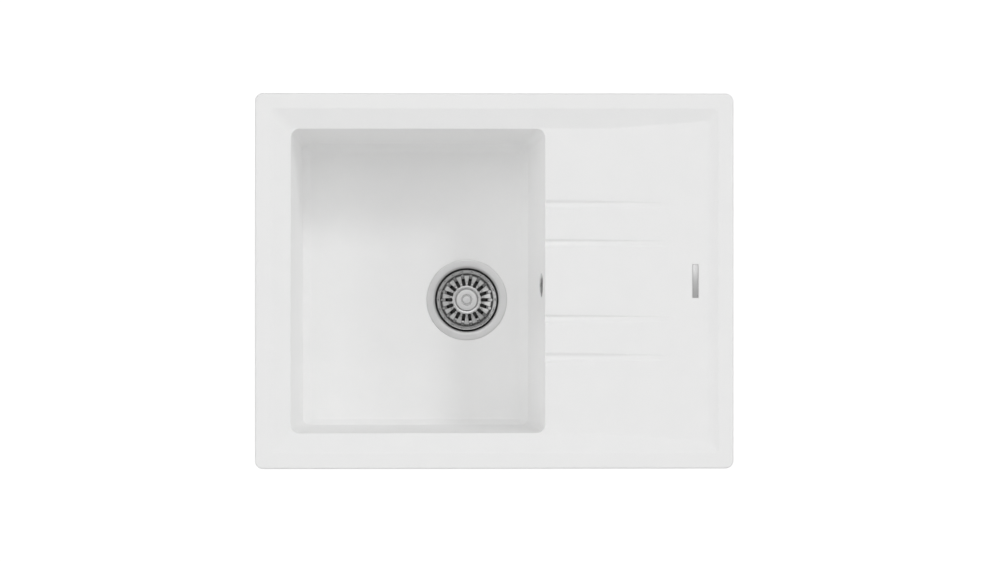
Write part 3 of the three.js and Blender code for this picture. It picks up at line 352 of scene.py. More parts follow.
def block(x0, x1, y0, y1, z0, z1, bevel=0, name="block"):
    corners = [(x, y, z) for z in (z0, z1) for y in (y0, y1) for x in (x0, x1)]
    faces = [(0, 2, 3, 1), (4, 5, 7, 6), (0, 1, 5, 4), (2, 6, 7, 3), (0, 4, 6, 2), (1, 3, 7, 5)]
    piece = linked(name, mesh_from(name, corners, faces))
    return bevelled(piece, bevel, segments=3) if bevel else piece


def rod(radius, z0, z1, sides=48):
    return lathe("rod", [(0, z0), (radius, z0), (radius, z1), (0, z1)], sides)


def tube(name, inner, outer, z0, z1, edge=0.4, steps=96, radius_at=None):
    section = [(inner, z0, edge), (outer, z0, edge), (outer, z1, edge), (inner, z1, edge)]
    return lathe(name, rounded(section, closed=True), steps, radius_at=radius_at)


def extruded(outline, z0, z1, name="extrusion"):
    """A prism over an outline in the XY plane."""
    count = len(outline)
    vertices = [(*point[:2], z) for z in (z0, z1) for point in outline]
    faces = [tuple(range(count)), tuple(range(count, 2 * count))]
    faces += [(i, (i + 1) % count, count + (i + 1) % count, count + i) for i in range(count)]
    return skin(name, vertices, faces)


def cross_recess(width, reach, z0, z1):
    """The two cutters of a cross-shaped driver recess."""
    half = width / 2
    return [block(-reach, reach, -half, half, z0, z1), block(-half, half, -reach, reach, z0, z1)]


def joined(name, pieces):
    """One object from several that don't touch."""
    made = bmesh.new()
    for piece in pieces:
        made.from_mesh(piece.data)
        bpy.data.objects.remove(piece)
    mesh = bpy.data.meshes.new(name)
    made.to_mesh(mesh)
    made.free()
    return linked(name, mesh)


def placed(piece, matrix):
    """The piece with its mesh moved by a matrix whose shift is in millimetres."""
    moved = matrix.copy()
    moved.translation *= MM
    piece.data.transform(moved)
    return piece


def at(x, y, z):
    return Matrix.Translation((x, y, z))


def turned(axis, degrees):
    return Matrix.Rotation(math.radians(degrees), 4, axis)


UPRIGHT = turned("X", 90)  # an outline's second coordinate becomes the height
SIDEWAYS = Matrix(((0, 0, 1, 0), (1, 0, 0, 0), (0, 1, 0, 0), (0, 0, 0, 1)))  # outline (Y, Z), along X

## Where the fittings are. The overflow's frame has +Z into the bowl and -X down, a clip's has +X out of the
# sink from the rim's outer edge.

WALL_LEAN = math.atan2(WALL_TOP.x1 - FOOT.x1, BOARD_Z - BOWL_EDGE - FOOT_Z)
OVERFLOW_Y = -5.8
OVERFLOW_Z = RIM_TOP - 48
OVERFLOW_X = WALL_TOP.x1 - (BOARD_Z - BOWL_EDGE - OVERFLOW_Z) * math.tan(WALL_LEAN)
OVERFLOW = at(OVERFLOW_X, OVERFLOW_Y, OVERFLOW_Z) @ Matrix.Rotation(WALL_LEAN - math.pi / 2, 4, "Y")
FLANGE_TOP = -190.7
WASTE = at(*DRAIN, FLANGE_TOP)
PLATE_X = 273.5
PLATE = at(PLATE_X, 0, BOARD_Z + (PLATE_X - RAMP_START) * RAMP_SLOPE) @ turned("Y", -1.5)
CLIPS = {  # X, Y and the direction in degrees
    "rear_left": (-200, 255, 90),
    "rear_right": (200, 255, 90),
    "front_left": (-200, -255, -90),
    "front_right": (200, -255, -90),
    "left": (-325, 0, 180),
    "right": (325, 0, 0),
}
CLIPS = {corner: at(x, y, 0) @ turned("Z", way) for corner, (x, y, way) in CLIPS.items()}

SPIGOT_R = 8.7
SPIGOT_BORE_R = 6.5
SPIGOT_Z = -27.3  # from the flange's top
SPIGOT_END = 76.5  # from the drain's axis
GASKET_FRONT = -WALL / math.cos(WALL_LEAN) - GAP
GASKET_BACK = GASKET_FRONT - 2.5
ELBOW_FRONT = GASKET_BACK - GAP
ELBOW_BACK = ELBOW_FRONT - 30
ELBOW_R = 14.5
ELBOW_AXIS = ELBOW_BACK + ELBOW_R
ELBOW_SPIGOT_END = 42
HOSE_TOP = OVERFLOW @ Vector((-ELBOW_SPIGOT_END, 0, ELBOW_AXIS))
HOSE_ANGLE = math.atan2(OVERFLOW_Y - DRAIN[1], HOSE_TOP.x - DRAIN[0])
HOSE_OVERLAP = 12
HOSE_PITCH = 4
HOSE_HANDLES = (26, 88)  # where the hose's bend starts, and how far the bend's handle runs
UP = np.array(OVERFLOW.to_3x3() @ Vector((1, 0, 0)))  # along the elbow's spigot
OUTWARD = np.array((math.cos(HOSE_ANGLE), math.sin(HOSE_ANGLE), 0))  # along the waste body's spigot
SPIGOT_TIP = np.array((*DRAIN, FLANGE_TOP + SPIGOT_Z)) + OUTWARD * SPIGOT_END
HOSE_START = np.array(HOSE_TOP) + UP * HOSE_OVERLAP
HOSE_FINISH = SPIGOT_TIP - OUTWARD * HOSE_OVERLAP

## Materials


class Look:
    """A node material around one Principled shader."""

    def __init__(self, name, **sockets):
        self.material = bpy.data.materials.new(name)
        self.material.use_nodes = True
        self.tree = self.material.node_tree
        self.link = self.tree.links.new
        self.shader = self.feed(self.tree.nodes["Principled BSDF"], **sockets)
        self.place = self.node("ShaderNodeTexCoord").outputs["Object"]

    def node(self, kind, **settings):
        made = self.tree.nodes.new(kind)
        for key, value in settings.items():
            setattr(made, key, value)
        return made

    def put(self, value, target):
        if isinstance(value, bpy.types.NodeSocket):
            self.link(value, target)
        else:
            target.default_value = value

    def feed(self, node, **values):
        """The node with sockets or plain values in its named inputs."""
        for socket, value in values.items():
            self.put(value, node.inputs[socket.replace("_", " ")])
        return node

    def computed(self, kind, operation, *values, result=0):
        """The result of a math node with sockets or plain values in its inputs, in their order."""
        node = self.node(kind, operation=operation)
        for value, target in zip(values, node.inputs):
            self.put(value, target)
        return node.outputs[result]

    def noise(self, scale, detail, place=None):
        node = self.node("ShaderNodeTexNoise")
        return self.feed(node, Scale=scale, Detail=detail, Vector=place or self.place).outputs["Fac"]

    def stretched(self, *scale):
        """The piece's own coordinates scaled per axis, for grain that runs one way."""
        node = self.feed(self.node("ShaderNodeMapping"), Scale=scale, Vector=self.place)
        return node.outputs["Vector"]

    def ring_place(self, centre):
        """The distance from an upright axis through a point."""
        shifted = self.computed("ShaderNodeVectorMath", "SUBTRACT", self.place, centre)
        flat = self.computed("ShaderNodeVectorMath", "MULTIPLY", shifted, (1, 1, 0))
        return self.computed("ShaderNodeVectorMath", "LENGTH", flat, result="Value")

    def spread(self, value, low, high, from_low=0.3, from_high=0.7):
        node = self.node("ShaderNodeMapRange")
        self.feed(node, Value=value, From_Min=from_low, From_Max=from_high, To_Min=low, To_Max=high)
        return node.outputs["Result"]

    def ramp(self, value, stops):
        """A colour that follows a value, from pairs of a place between 0 and 1 and the colour there."""
        node = self.node("ShaderNodeValToRGB")
        elements = node.color_ramp.elements
        while len(elements) < len(stops):
            elements.new(0.5)
        for element, (place, colour) in zip(elements, stops):
            element.position = place
            element.color = (*colour, 1)
        self.link(value, node.inputs["Fac"])
        return node.outputs["Color"]

    def tint(self, value, low, high, from_low=0.3, from_high=0.7):
        return self.ramp(value, [(from_low, low), (from_high, high)])

    # A painted shade: a grey share of the base colour that follows a distance, from pairs of a place and the
    # share there
    def painted_shade_by_distance(self, distance, painted_shades, reach=0.06):
        scaled = self.spread(distance, 0, 1, 0, reach)
        return self.ramp(scaled, [(place / reach, grey(tone)) for place, tone in painted_shades])

    def multiply(self, a, b):
        node = self.node("ShaderNodeMix", data_type="RGBA", blend_type="MULTIPLY")
        node.inputs["Factor"].default_value = 1
        self.link(a, node.inputs[6])
        self.link(b, node.inputs[7])
        return node.outputs[2]

    def colour(self, value):
        self.link(value, self.shader.inputs["Base Color"])

    def roughness(self, value):
        self.link(value, self.shader.inputs["Roughness"])

    def bump(self, height, distance, strength=1.0):
        node = self.feed(self.node("ShaderNodeBump"), Height=height, Distance=distance, Strength=strength)
        before = self.shader.inputs["Normal"]
        if before.links:
            self.link(before.links[0].from_socket, node.inputs["Normal"])
        self.link(node.outputs["Normal"], before)


def grey(value):
    return (value, value, value)


def composite_look():
    """White granite composite: a fine matt grain with faint specks of quartz."""
    look = Look("white_composite", IOR=1.5)
    cloud = look.tint(look.noise(26, 3), (0.935, 0.936, 0.934), (0.949, 0.949, 0.946))
    grain = look.tint(look.noise(2600, 2), grey(0.965), grey(1.0), 0.35, 0.6)
    look.colour(look.multiply(cloud, grain))
    look.roughness(look.spread(look.noise(900, 2), 0.40, 0.54))
    look.bump(look.noise(1500, 3), 0.00006, 0.5)
    look.bump(look.noise(190, 2), 0.00005, 0.35)
    return look.material


def steel_look(name, base, rough, centre=None, grain=(1, 1, 1), depth=0.000012, smooth_to=None, painted_shades=()):
    """Steel with the fine marks of turning round a centre, or of brushing along one axis.

    Within the distance smooth_to from the centre the steel is polished. The last argument holds pairs of a
    distance from the centre and the share of the base colour there: painted shade where folds, gaps and
    hollows lie in shade."""
    look = Look(name, Metallic=1.0)
    if centre:
        distance = look.ring_place(centre)
        rings = look.node("ShaderNodeTexNoise", noise_dimensions="1D")
        marks = look.feed(rings, Scale=2600, Detail=3.0, W=distance).outputs["Fac"]
    else:
        marks = look.noise(700, 3, look.stretched(*grain))
    shade = look.tint(look.noise(60, 2), grey(base * 0.96), grey(base))
    # Painted shade: the base colour darkened by distance from the centre where the steel lies in shade
    if painted_shades:
        shade = look.multiply(shade, look.painted_shade_by_distance(distance, painted_shades))
    look.colour(shade)
    level = look.spread(marks, rough * 0.8, rough * 1.2)
    if smooth_to:
        share = look.spread(distance, 0.3, 1, smooth_to, smooth_to + 0.002)
        level = look.computed("ShaderNodeMath", "MULTIPLY", level, share)
    look.roughness(level)
    look.bump(marks, depth, 0.5)
    return look.material


def zinc_look():
    """Bright zinc plating with a faint bluish and yellowish cloud."""
    look = Look("zinc_plate", Metallic=1.0)
    look.colour(look.tint(look.noise(120, 3), (0.50, 0.52, 0.55), (0.63, 0.62, 0.59)))
    look.roughness(look.spread(look.noise(420, 3), 0.26, 0.42))
    look.bump(look.noise(1300, 2), 0.00003, 0.4)
    return look.material


def soft_look(name, low, high, scale, rough, depth):
    """Rubber, foam or moulded plastic, with its own grain."""
    look = Look(name)
    look.colour(look.tint(look.noise(scale * 0.2, 3), low, high))
    look.roughness(look.spread(look.noise(scale, 2), rough - 0.05, rough + 0.06))
    look.bump(look.noise(scale, 3), depth, 0.5)
    return look.material


WASTE_CENTRE = (DRAIN[0] * MM, DRAIN[1] * MM, 0)
# Painted shade: pairs of a distance from the drain's axis, in metres, and the share of the base colour there;
# the flange darker on the seat under the basket and in the gap round it
FLANGE_PAINTED_SHADE = [(0.028, 0.42), (0.041, 0.42), (0.0425, 0.18), (0.0446, 0.2), (0.0456, 0.62), (0.0485, 1)]
# The basket with painted shade: a dark band in its fold and a darker rim
BASKET_PAINTED_SHADE = [(0.0338, 1), (0.035, 0.3), (0.0377, 0.28), (0.0388, 0.66), (0.0415, 0.74), (0.0428, 0.6)]
FINE = 0.000006  # depth of the marks on polished steel
LOOKS = {  # each with its slot in the record
    "composite": (composite_look(), "composite"),
    "satin_ring": (steel_look("satin_steel_turned", 0.72, 0.46, WASTE_CENTRE), "satin_steel"),
    # The flange's steel has painted shade on its seat and in the gap round the basket
    "flange_ring": (steel_look("satin_steel_flange_painted_shade", 0.72, 0.46, WASTE_CENTRE, smooth_to=0.0415,
                               painted_shades=FLANGE_PAINTED_SHADE), "satin_steel"),
    "satin_brushed": (steel_look("satin_steel_brushed", 0.62, 0.34, grain=(1, 0.04, 1)), "satin_steel"),
    # The basket's steel has painted shade in its fold and on its rim
    "polished_ring": (steel_look("polished_steel_turned_painted_shade", 0.64, 0.24, WASTE_CENTRE, depth=FINE,
                                 painted_shades=BASKET_PAINTED_SHADE), "polished_steel"),
    "polished": (steel_look("polished_steel", 0.60, 0.16, grain=(0.6, 0.6, 1), depth=FINE), "polished_steel"),
    "zinc": (zinc_look(), "zinc_steel"),
    "brass": (steel_look("brass_insert", 0.5, 0.3), "brass"),
    "rubber": (soft_look("black_rubber", grey(0.012), grey(0.022), 900, 0.62, 0.00004), "rubber"),
    "foam": (soft_look("grey_foam", grey(0.035), grey(0.06), 1500, 0.9, 0.00015), "foam"),
    "plastic": (soft_look("white_plastic", grey(0.74), grey(0.79), 500, 0.42, 0.00002), "plastic"),
}


def finished(piece, look, body, node, angle=32):
    """Gives the piece its material and body, and lets it stand for a CAD node."""
    material, slot = LOOKS[look]
    piece.data.materials.clear()
    piece.data.materials.append(material)
    piece.data.shade_smooth()
    piece.data.set_sharp_from_angle(angle=math.radians(angle))
    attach(piece, body)
    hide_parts(node)


## Basin


def smooth_max(a, b, k):
    h = np.maximum(k - np.abs(a - b), 0) / k
    return np.maximum(a, b) + h * h * k / 4


def smooth_min(a, b, k):
    return -smooth_max(-a, -b, k)


def smooth_step(value):
    value = np.clip(value, 0, 1)
    return value * value * (3 - 2 * value)


def groove_share(x):
    """How far X is along the grooves, from 0 at the bowl to 1 at their end."""
    return np.clip((x - OPENING.x1) / (GROOVE_END - OPENING.x1), 0, 1)


def groove_plan(x, groove):
    """Front and rear edge of a groove at X, and how wide its front and rear slopes are there."""
    middle, width, rear_slope = groove
    t = groove_share(x)
    half = between(width, GROOVE_END_WIDTH, t) / 2 + GROOVE_MARGIN
    slopes = (between(*pair, t) for pair in zip((GROOVE_FRONT_SLOPE, rear_slope), GROOVE_END_SLOPES))
    return middle - half, middle + half, *slopes


def groove_depth(x, y):
    """How far the drain grooves lie below the board at a point."""
    depth = np.zeros_like(x)
    for groove in GROOVES:
        front, rear, front_slope, rear_slope = groove_plan(x, groove)
        inside = np.minimum((y - front) / front_slope, (rear - y) / rear_slope)
        ramp = smooth_max(inside, np.zeros_like(x), GROOVE_SOFTENING)
        ramp = smooth_min(ramp, np.ones_like(x), GROOVE_SOFTENING)
        depth += GROOVE_DEPTH * (1 - groove_share(x)) * np.where(inside > -GROOVE_SOFTENING, ramp, 0)
    return depth * (x > WALL_TOP.x1)


def board_height(x):
    return smooth_max(np.full_like(x, BOARD_Z), BOARD_Z + (x - RAMP_START) * RAMP_SLOPE, 0.45)


def top_height(x, y):
    """The height of rim, band and board at a point seen from above."""
    x, y = np.asarray(x, float), np.asarray(y, float)
    right = RIM_TOP + (x - BAND_TOP.x1) * BAND_SLOPE_RIGHT
    left = RIM_TOP + (BAND_TOP.x0 - x) * BAND_SLOPE
    across = RIM_TOP + (np.abs(y) - BAND_TOP.y1) * BAND_SLOPE
    board = smooth_max(board_height(x), right, 3.1)
    corner = 0.3 + 2.4 * smooth_step((x - 284) / 14)
    height = smooth_max(board, smooth_max(left, across, 3.0), corner)
    return smooth_min(height, np.full_like(x, RIM_TOP), 0.5) - groove_depth(x, y)


SLOPE_SHARES = (-0.3, -0.15, 0, 0.15, 0.3, 0.5, 0.7, 0.85, 1, 1.15, 1.3)  # places across a groove's slope
CORNER_STEPS = 14
LEFT_STEPS = 44
LONG_STEPS = 58
END_STEPS = 26


def groove_samples(x):
    """Y of the points of a ring's right side between -GROOVE_ZONE and GROOVE_ZONE."""
    found = [-GROOVE_ZONE]
    for groove in GROOVES:
        front, rear, front_slope, rear_slope = groove_plan(x, groove)
        first = [front + share * front_slope for share in SLOPE_SHARES]
        last = [rear - share * rear_slope for share in reversed(SLOPE_SHARES)]
        found += list(np.linspace(found[-1], first[0], 9)[1:])
        found += first[1:] + [(first[-1] + last[0]) / 2] + last
    found += list(np.linspace(found[-1], GROOVE_ZONE, 9)[1:])
    return np.array(found)


def right_side(rect, outside):
    """Y of the points along a ring's right side, from front to rear, without its ends."""
    low, high = rect.y0 + rect.r, rect.y1 - rect.r
    if outside:
        middle = groove_samples(np.clip(rect.x1, OPENING.x1, GROOVE_END))
        front = np.linspace(low, -GROOVE_ZONE, END_STEPS + 1)[:-1]
        rear = np.linspace(GROOVE_ZONE, high, END_STEPS + 1)[1:]
        return np.concatenate([front, middle, rear])
    base = right_side(OPENING, True)
    share = (base - base[0]) / (base[-1] - base[0])
    return low + share * (high - low)


def ring(rect, outside=False):
    """X and Y of a ring round a rounded rectangle, anticlockwise from the front of its right side."""
    x0, x1, y0, y1, r = rect
    side = right_side(rect, outside)
    parts = [np.stack([np.full_like(side, x1), side], 1)]

    def corner(cx, cy, quarter):
        angles = (quarter + np.arange(1, CORNER_STEPS) / CORNER_STEPS) * math.pi / 2
        parts.append(np.stack([cx + r * np.cos(angles), cy + r * np.sin(angles)], 1))

    def line(start, end, steps):
        t = np.linspace(0, 1, steps + 1)[:, None]
        parts.append(np.array(start) * (1 - t) + np.array(end) * t)

    corner(x1 - r, y1 - r, 0)
    line((x1 - r, y1), (x0 + r, y1), LONG_STEPS)
    corner(x0 + r, y1 - r, 1)
    line((x0, y1 - r), (x0, y0 + r), LEFT_STEPS)
    corner(x0 + r, y0 + r, 2)
    line((x0 + r, y0), (x1 - r, y0), LONG_STEPS)
    corner(x1 - r, y0 + r, 3)
    return np.concatenate(parts)


def raised(flat, z):
    return np.column_stack([flat, z + np.zeros(len(flat))])


def level_ring(rect, z, outside=False):
    return raised(ring(rect, outside), z)


def round_ring(radius, z, like):
    """A circle round the drain whose points lie on the spokes to another ring's points."""
    away = like[:, :2] - DRAIN
    away /= np.linalg.norm(away, axis=1)[:, None]
    return raised(DRAIN + away * radius, z)


def floor_rings():
    """From the waste hole up to the edge of the bowl's floor."""
    edge = level_ring(FLOOR_EDGE, FLOOR_EDGE_Z)
    seat = round_ring(SEAT_R, DRAIN_Z, edge)
    rings = [
        round_ring(HOLE_R, FLOOR_UNDERSIDE, edge),
        round_ring(HOLE_R, SEAT_Z - CHAMFER, edge),
        round_ring(HOLE_R + CHAMFER, SEAT_Z, edge),
        round_ring(SEAT_R, SEAT_Z, edge),
        round_ring(SEAT_R, DRAIN_Z - 0.5, edge),
        round_ring(SEAT_R + 0.25, DRAIN_Z - 0.1, edge),
    ]
    rise = FLOOR_EDGE_Z - DRAIN_Z
    for t in np.linspace(0.006, 0.9, 20):
        part = seat * (1 - t) + edge * t
        part[:, 2] = DRAIN_Z + rise * smooth_step(t) * 0.4 + rise * t * 0.6
        rings.append(part)
    return rings


def bend(start, corner, end, count):
    """Rings on a smooth turn from one ring to another."""
    return [start * (1 - t) ** 2 + corner * 2 * t * (1 - t) + end * t * t for t in np.linspace(0, 1, count)]


def wall_rings():
    """The straight slope at the wall's foot, the wall, and the rounded edge of the opening."""
    foot, edge = level_ring(FOOT, FOOT_Z), level_ring(FLOOR_EDGE, FLOOR_EDGE_Z)
    top, opening = level_ring(WALL_TOP, BOARD_Z - BOWL_EDGE), level_ring(OPENING, 0, outside=True)
    opening[:, 2] = top_height(*opening[:, :2].T)
    floor = edge + (edge - foot) * 0.14
    floor[:, 2] = FLOOR_EDGE_Z - 0.05
    slope_low, slope_high = edge + (foot - edge) * 0.14, edge + (foot - edge) * 0.9
    wall_low = foot + (top - foot) * 0.006
    rings = bend(floor, edge, slope_low, 5) + [slope_low * 0.5 + slope_high * 0.5]
    rings += bend(slope_high, foot, wall_low, 4)
    rings += [foot + (top - foot) * t for t in np.linspace(0.006, 1, 14)[1:]]
    # The edge is a curve from the wall to the slope of the band or the board.
    control = opening.copy()
    inwards = top[:, :2] - opening[:, :2]
    control[:, :2] += inwards * 0.93
    far = opening[:, :2] - inwards * 0.2
    slope = (top_height(*far.T) - opening[:, 2]) / 0.2
    control[:, 2] -= np.clip(slope, 0, 3) * 0.93
    return rings + bend(top, control, opening, 7)[1:]


def top_rings():
    """From the opening over board, band and rim to the rim's underside."""
    stretched = Rect(-300, 286, -230, 230, 11)
    past_band = Rect(-306, 306, -236, 236, 9)
    shoulder = Rect(-322.5, 322.5, -252.5, 252.5, 8.5)
    plans = [mixed(OPENING, stretched, t) for t in np.linspace(0, 1, 106)[1:]]
    plans += [mixed(stretched, past_band, t) for t in np.linspace(0, 1, 21)[1:]]
    plans += [mixed(past_band, shoulder, t) for t in np.linspace(0, 1, 6)[1:]]
    flats = [ring(plan, outside=True) for plan in plans]
    rings = [raised(flat, top_height(*flat.T)) for flat in flats]
    for angle in np.linspace(0, math.pi / 2, 7)[1:]:
        reach = RIM_EDGE_R * math.sin(angle)
        rings.append(level_ring(grown(shoulder, reach), RIM_TOP - RIM_EDGE_R * (1 - math.cos(angle)), True))
    edge = ((0, 0.6), (0.2, 0.15), (0.6, 0))
    return rings + [level_ring(grown(RIM, -inset), z, True) for inset, z in edge]


def under_rings():
    """The underside: seal groove, tray, the outside of the bowl, and its bottom."""
    shell_top = grown(WALL_TOP, WALL)
    shell_foot = grown(FOOT, WALL)
    shell_bend = grown(mixed(FLOOR_EDGE, FOOT, 0.8), WALL)
    shell_floor = grown(FLOOR_EDGE, 3.5)
    seal_outer, seal_inner = (grown(RIM, -inset) for inset in SEAL_GROOVE)
    seal_inner = seal_inner._replace(r=SEAL_GROOVE_INNER_R)
    top = [
        (seal_outer, 0), (seal_outer, SEAL_Z), (seal_inner, SEAL_Z), (seal_inner, 0), (TRAY, 0),
        (TRAY, BOARD_UNDERSIDE + 2.5), (grown(TRAY, -0.7), BOARD_UNDERSIDE + 0.7),
        (grown(TRAY, -2.5), BOARD_UNDERSIDE),
    ]
    bowl = [
        (grown(shell_top, 5), BOARD_UNDERSIDE), (grown(shell_top, 1.5), BOARD_UNDERSIDE - 1.5),
        (grown(shell_top, 0.1), BOARD_UNDERSIDE - 5),
    ]
    for t in np.linspace(0, 1, 12)[1:]:
        bowl.append((mixed(shell_top, shell_foot, t), between(BOARD_UNDERSIDE - 5, FOOT_Z, t)))
    bowl += [
        (shell_bend, FLOOR_EDGE_Z), (grown(shell_floor, 1), FLOOR_UNDERSIDE + 2),
        (grown(shell_floor, -0.5), FLOOR_UNDERSIDE + 0.4), (grown(shell_floor, -2), FLOOR_UNDERSIDE),
    ]
    rings = [level_ring(rect, z, True) for rect, z in top] + [level_ring(rect, z) for rect, z in bowl]
    last = rings[-1]
    hole = round_ring(HOLE_R, FLOOR_UNDERSIDE, level_ring(FLOOR_EDGE, FLOOR_EDGE_Z))
    return rings + [last * (1 - t) + hole * t for t in (0.3, 0.6, 0.85)]


def basin():
    piece = ring_piece("composite_basin", floor_rings() + wall_rings() + top_rings() + under_rings())
    lugs = [placed(block(*LUG, -36, BOARD_UNDERSIDE + 1.3, bevel=1.2), place) for place in CLIPS.values()]
    fixing = at(LUG[1], *FIXING) @ turned("Y", 90)
    cuts = [placed(rod(2.4, -10, 5, 24), place @ fixing) for place in CLIPS.values()]
    cover_seat = [(0, -13), (12.5, -13), (12.5, -3), (16.9, -3), (16.9, 5), (0, 5)]
    cuts.append(placed(lathe("seat", cover_seat), OVERFLOW))
    for x, y in TAP_RECESSES:
        cuts.append(placed(rod(TAP_RECESS_R, BOARD_UNDERSIDE - 5, BOARD_Z - 3, 64), at(x, y, 0)))
    x, y = (half + GAP for half in PLATE_HALF)
    cuts.append(placed(block(-x, x, -y, y, -0.8, 3), PLATE))
    fused(piece, joined("lugs", lugs))
    cut(piece, joined("cuts", cuts))
    finished(piece, "composite", "sink", "sink_basin", 28)


## Strainer waste, about the drain's axis with heights from the flange's top


def in_waste(piece, look, body, node, angle=32):
    finished(placed(piece, WASTE), look, body, node, angle)


def flange():
    path = rounded([
        (4.2, -33), (27.4, -33, 2.5), (28.9, -32, 1), (29.3, -17.4, 0.8), (30.2, -15.9, 0.8),
        (32.8, -15.2, 2), (40.8, -11.4, 3), (44.3, -9.8, 1.2), (44.6, -2.4, 1.8), (45.5, -0.9, 1.5),
        (47.4, -0.2, 2), (49.4, 0, 2), (56.1, 0, 0.8), (57.2, -0.22, 0.5), (57.6, -0.66),
    ], step=9)
    piece = slotted_sheet("steel_waste_flange", path, 1.0, 8, 3.5, 10.5, 17.5, columns=10)
    in_waste(bevelled(piece, 0.2), "flange_ring", "sink", "waste_flange")


SLOT_HALF, SLOT_INNER, SLOT_OUTER = 2.05, 20.7, 36.9


def slot_dimple(radius, away):
    """How the basket's sheet is drawn in at a slot's edge, and dented in the rim beyond the slot."""
    along = max(SLOT_INNER + SLOT_HALF - radius, radius - SLOT_OUTER + SLOT_HALF, 0)
    from_edge = max(0, math.hypot(along, away) - SLOT_HALF)
    lift = -0.65 * max(0, 1 - from_edge / EDGE_STEPS[-1]) ** 1.3
    along = max(0, 1 - ((radius - 40.4) / 0.85) ** 2)
    across = max(0, 1 - (away / 2.9) ** 2)
    return lift - along * across


def basket():
    path = rounded([
        (4.3, -10), (14.4, -10, 0.3), (14.8, -11.6, 0.3), (16, -11.6, 0.3), (16.5, -10.8, 0.2),
        (19.5, -10.65, 1.2), (21.1, -11.5, 0.8), (22, -13.9, 0.7), (23, -14.3, 0.7), (35.4, -7.4, 0.9),
        (37.6, -4.1, 0.9), (41.7, -1.8, 0.5), (42.4, -1.6, 0.4), (42.85, -2.1, 0.3), (42.95, -4.4),
    ], step=14)
    dense = []
    for a, b in zip(path, path[1:]):
        parts = max(1, round(np.linalg.norm(b - a) / (1.1 if b[0] < 39 else 0.28)))
        dense += [a + (b - a) * i / parts for i in range(parts)]
    dense.append(path[-1])
    piece = slotted_sheet("steel_strainer_basket", dense, 0.9, 18, SLOT_HALF, SLOT_INNER, SLOT_OUTER,
                          columns=9, dimple=slot_dimple)
    in_waste(bevelled(piece, 0.15), "polished_ring", "basket", "strainer_basket")


def knob():
    profile = rounded([
        (0, -9.7), (14.2, -9.7), (15.4, -8.9, 0.4), (15.4, -6.1, 0.6), (14.5, -4.9, 0.6), (8.1, -4.7, 0.5),
        (7.2, -6.4, 0.4), (6.4, -6.4, 0.4), (5.6, -4.4, 0.5), (4.6, -4.1, 0.6), (0, -3.9),
    ], step=12)
    in_waste(lathe("steel_basket_knob", profile, 128), "satin_ring", "basket", "basket_knob", 50)


def centre_screw():
    head = rounded([
        (3.9, -32.7), (7.1, -32.7, 0.4), (7.5, -32.2), (7.5, -27.6), (6.6, -26.7, 0.4), (3.3, -26.7),
        (3.3, -32.2),
    ])
    profile = [(0, -59), (3.3, -59)] + shaft(3.9, -58.2, -34, 0.25) + head + [(0, -32.2)]
    thread = screw_thread(-58.6, -34.5, 1.25, 0.45, (0, 4))
    screw = lathe("steel_waste_centre_screw", profile, 48, radius_at=thread)
    cut(screw, block(-9, 9, -0.8, 0.8, -29, -20))
    in_waste(screw, "polished", "sink", "waste_centre_screw")


def post():
    profile = rounded([
        (0, -31.9), (2.2, -31.9, 0.6), (3, -30.9, 0.6), (3, -29.6, 0.3), (2.5, -29.2, 0.3), (2.5, -28.4, 0.3),
        (3, -28, 0.3), (3, -24.6), (4, -24.4, 0.2), (4, -10.1), (0, -10.0),
    ])
    in_waste(lathe("steel_basket_post", profile, 40), "polished", "basket", "basket_post")


def stopper():
    profile = rounded([
        (4.3, -21.2), (18.2, -21.2, 1.5), (19.2, -22.6, 1.2), (19.4, -31.6, 0.6), (20.6, -32.7, 0.6),
        (23.2, -32.7, 0.8), (24, -31.6, 0.8), (23.7, -30.4, 0.6), (22.6, -29.4, 1), (22.2, -20, 1.2),
        (27, -17.9, 0.8), (28.2, -16.6, 0.5), (27.8, -15.6, 0.4), (4.3, -15.6),
    ], closed=True)
    in_waste(lathe("rubber_basket_stopper", profile), "rubber", "basket", "basket_stopper")


def hexagon(across_corners):
    """radius_at for lathe: six flats on what is wide enough to reach them."""
    flat = across_corners * math.cos(math.pi / 6)

    def radius_at(radius, z, angle):
        limit = flat / math.cos((angle + math.pi / 6) % (math.pi / 3) - math.pi / 6)
        return min(radius, limit) if radius > flat * 0.9 else radius

    return radius_at


def stopper_nut():
    profile = [
        (4.3, -24.1), (4.6, -24.5), (5.6, -24.5), (6.5, -24.0), (6.5, -22.0), (5.6, -21.5), (4.6, -21.5),
        (4.3, -21.9),
    ]
    piece = lathe("zinc_stopper_nut", profile, radius_at=hexagon(6.5))
    in_waste(piece, "zinc", "basket", "stopper_nut", angle=20)


def spigot(start, end):
    """A hose spigot along Z whose barbs hold the hose."""
    profile = [(0, start), (SPIGOT_R, start)]
    for i in range(3):
        z = end - 3 - 4.5 * (3 - i)
        profile += [(SPIGOT_R, z), (SPIGOT_R + 0.55, z + 0.4), (SPIGOT_R, z + 3.6)]
    profile += [(SPIGOT_R, end - 1), (SPIGOT_R - 0.8, end), (0, end)]
    return lathe("spigot", profile, 48)


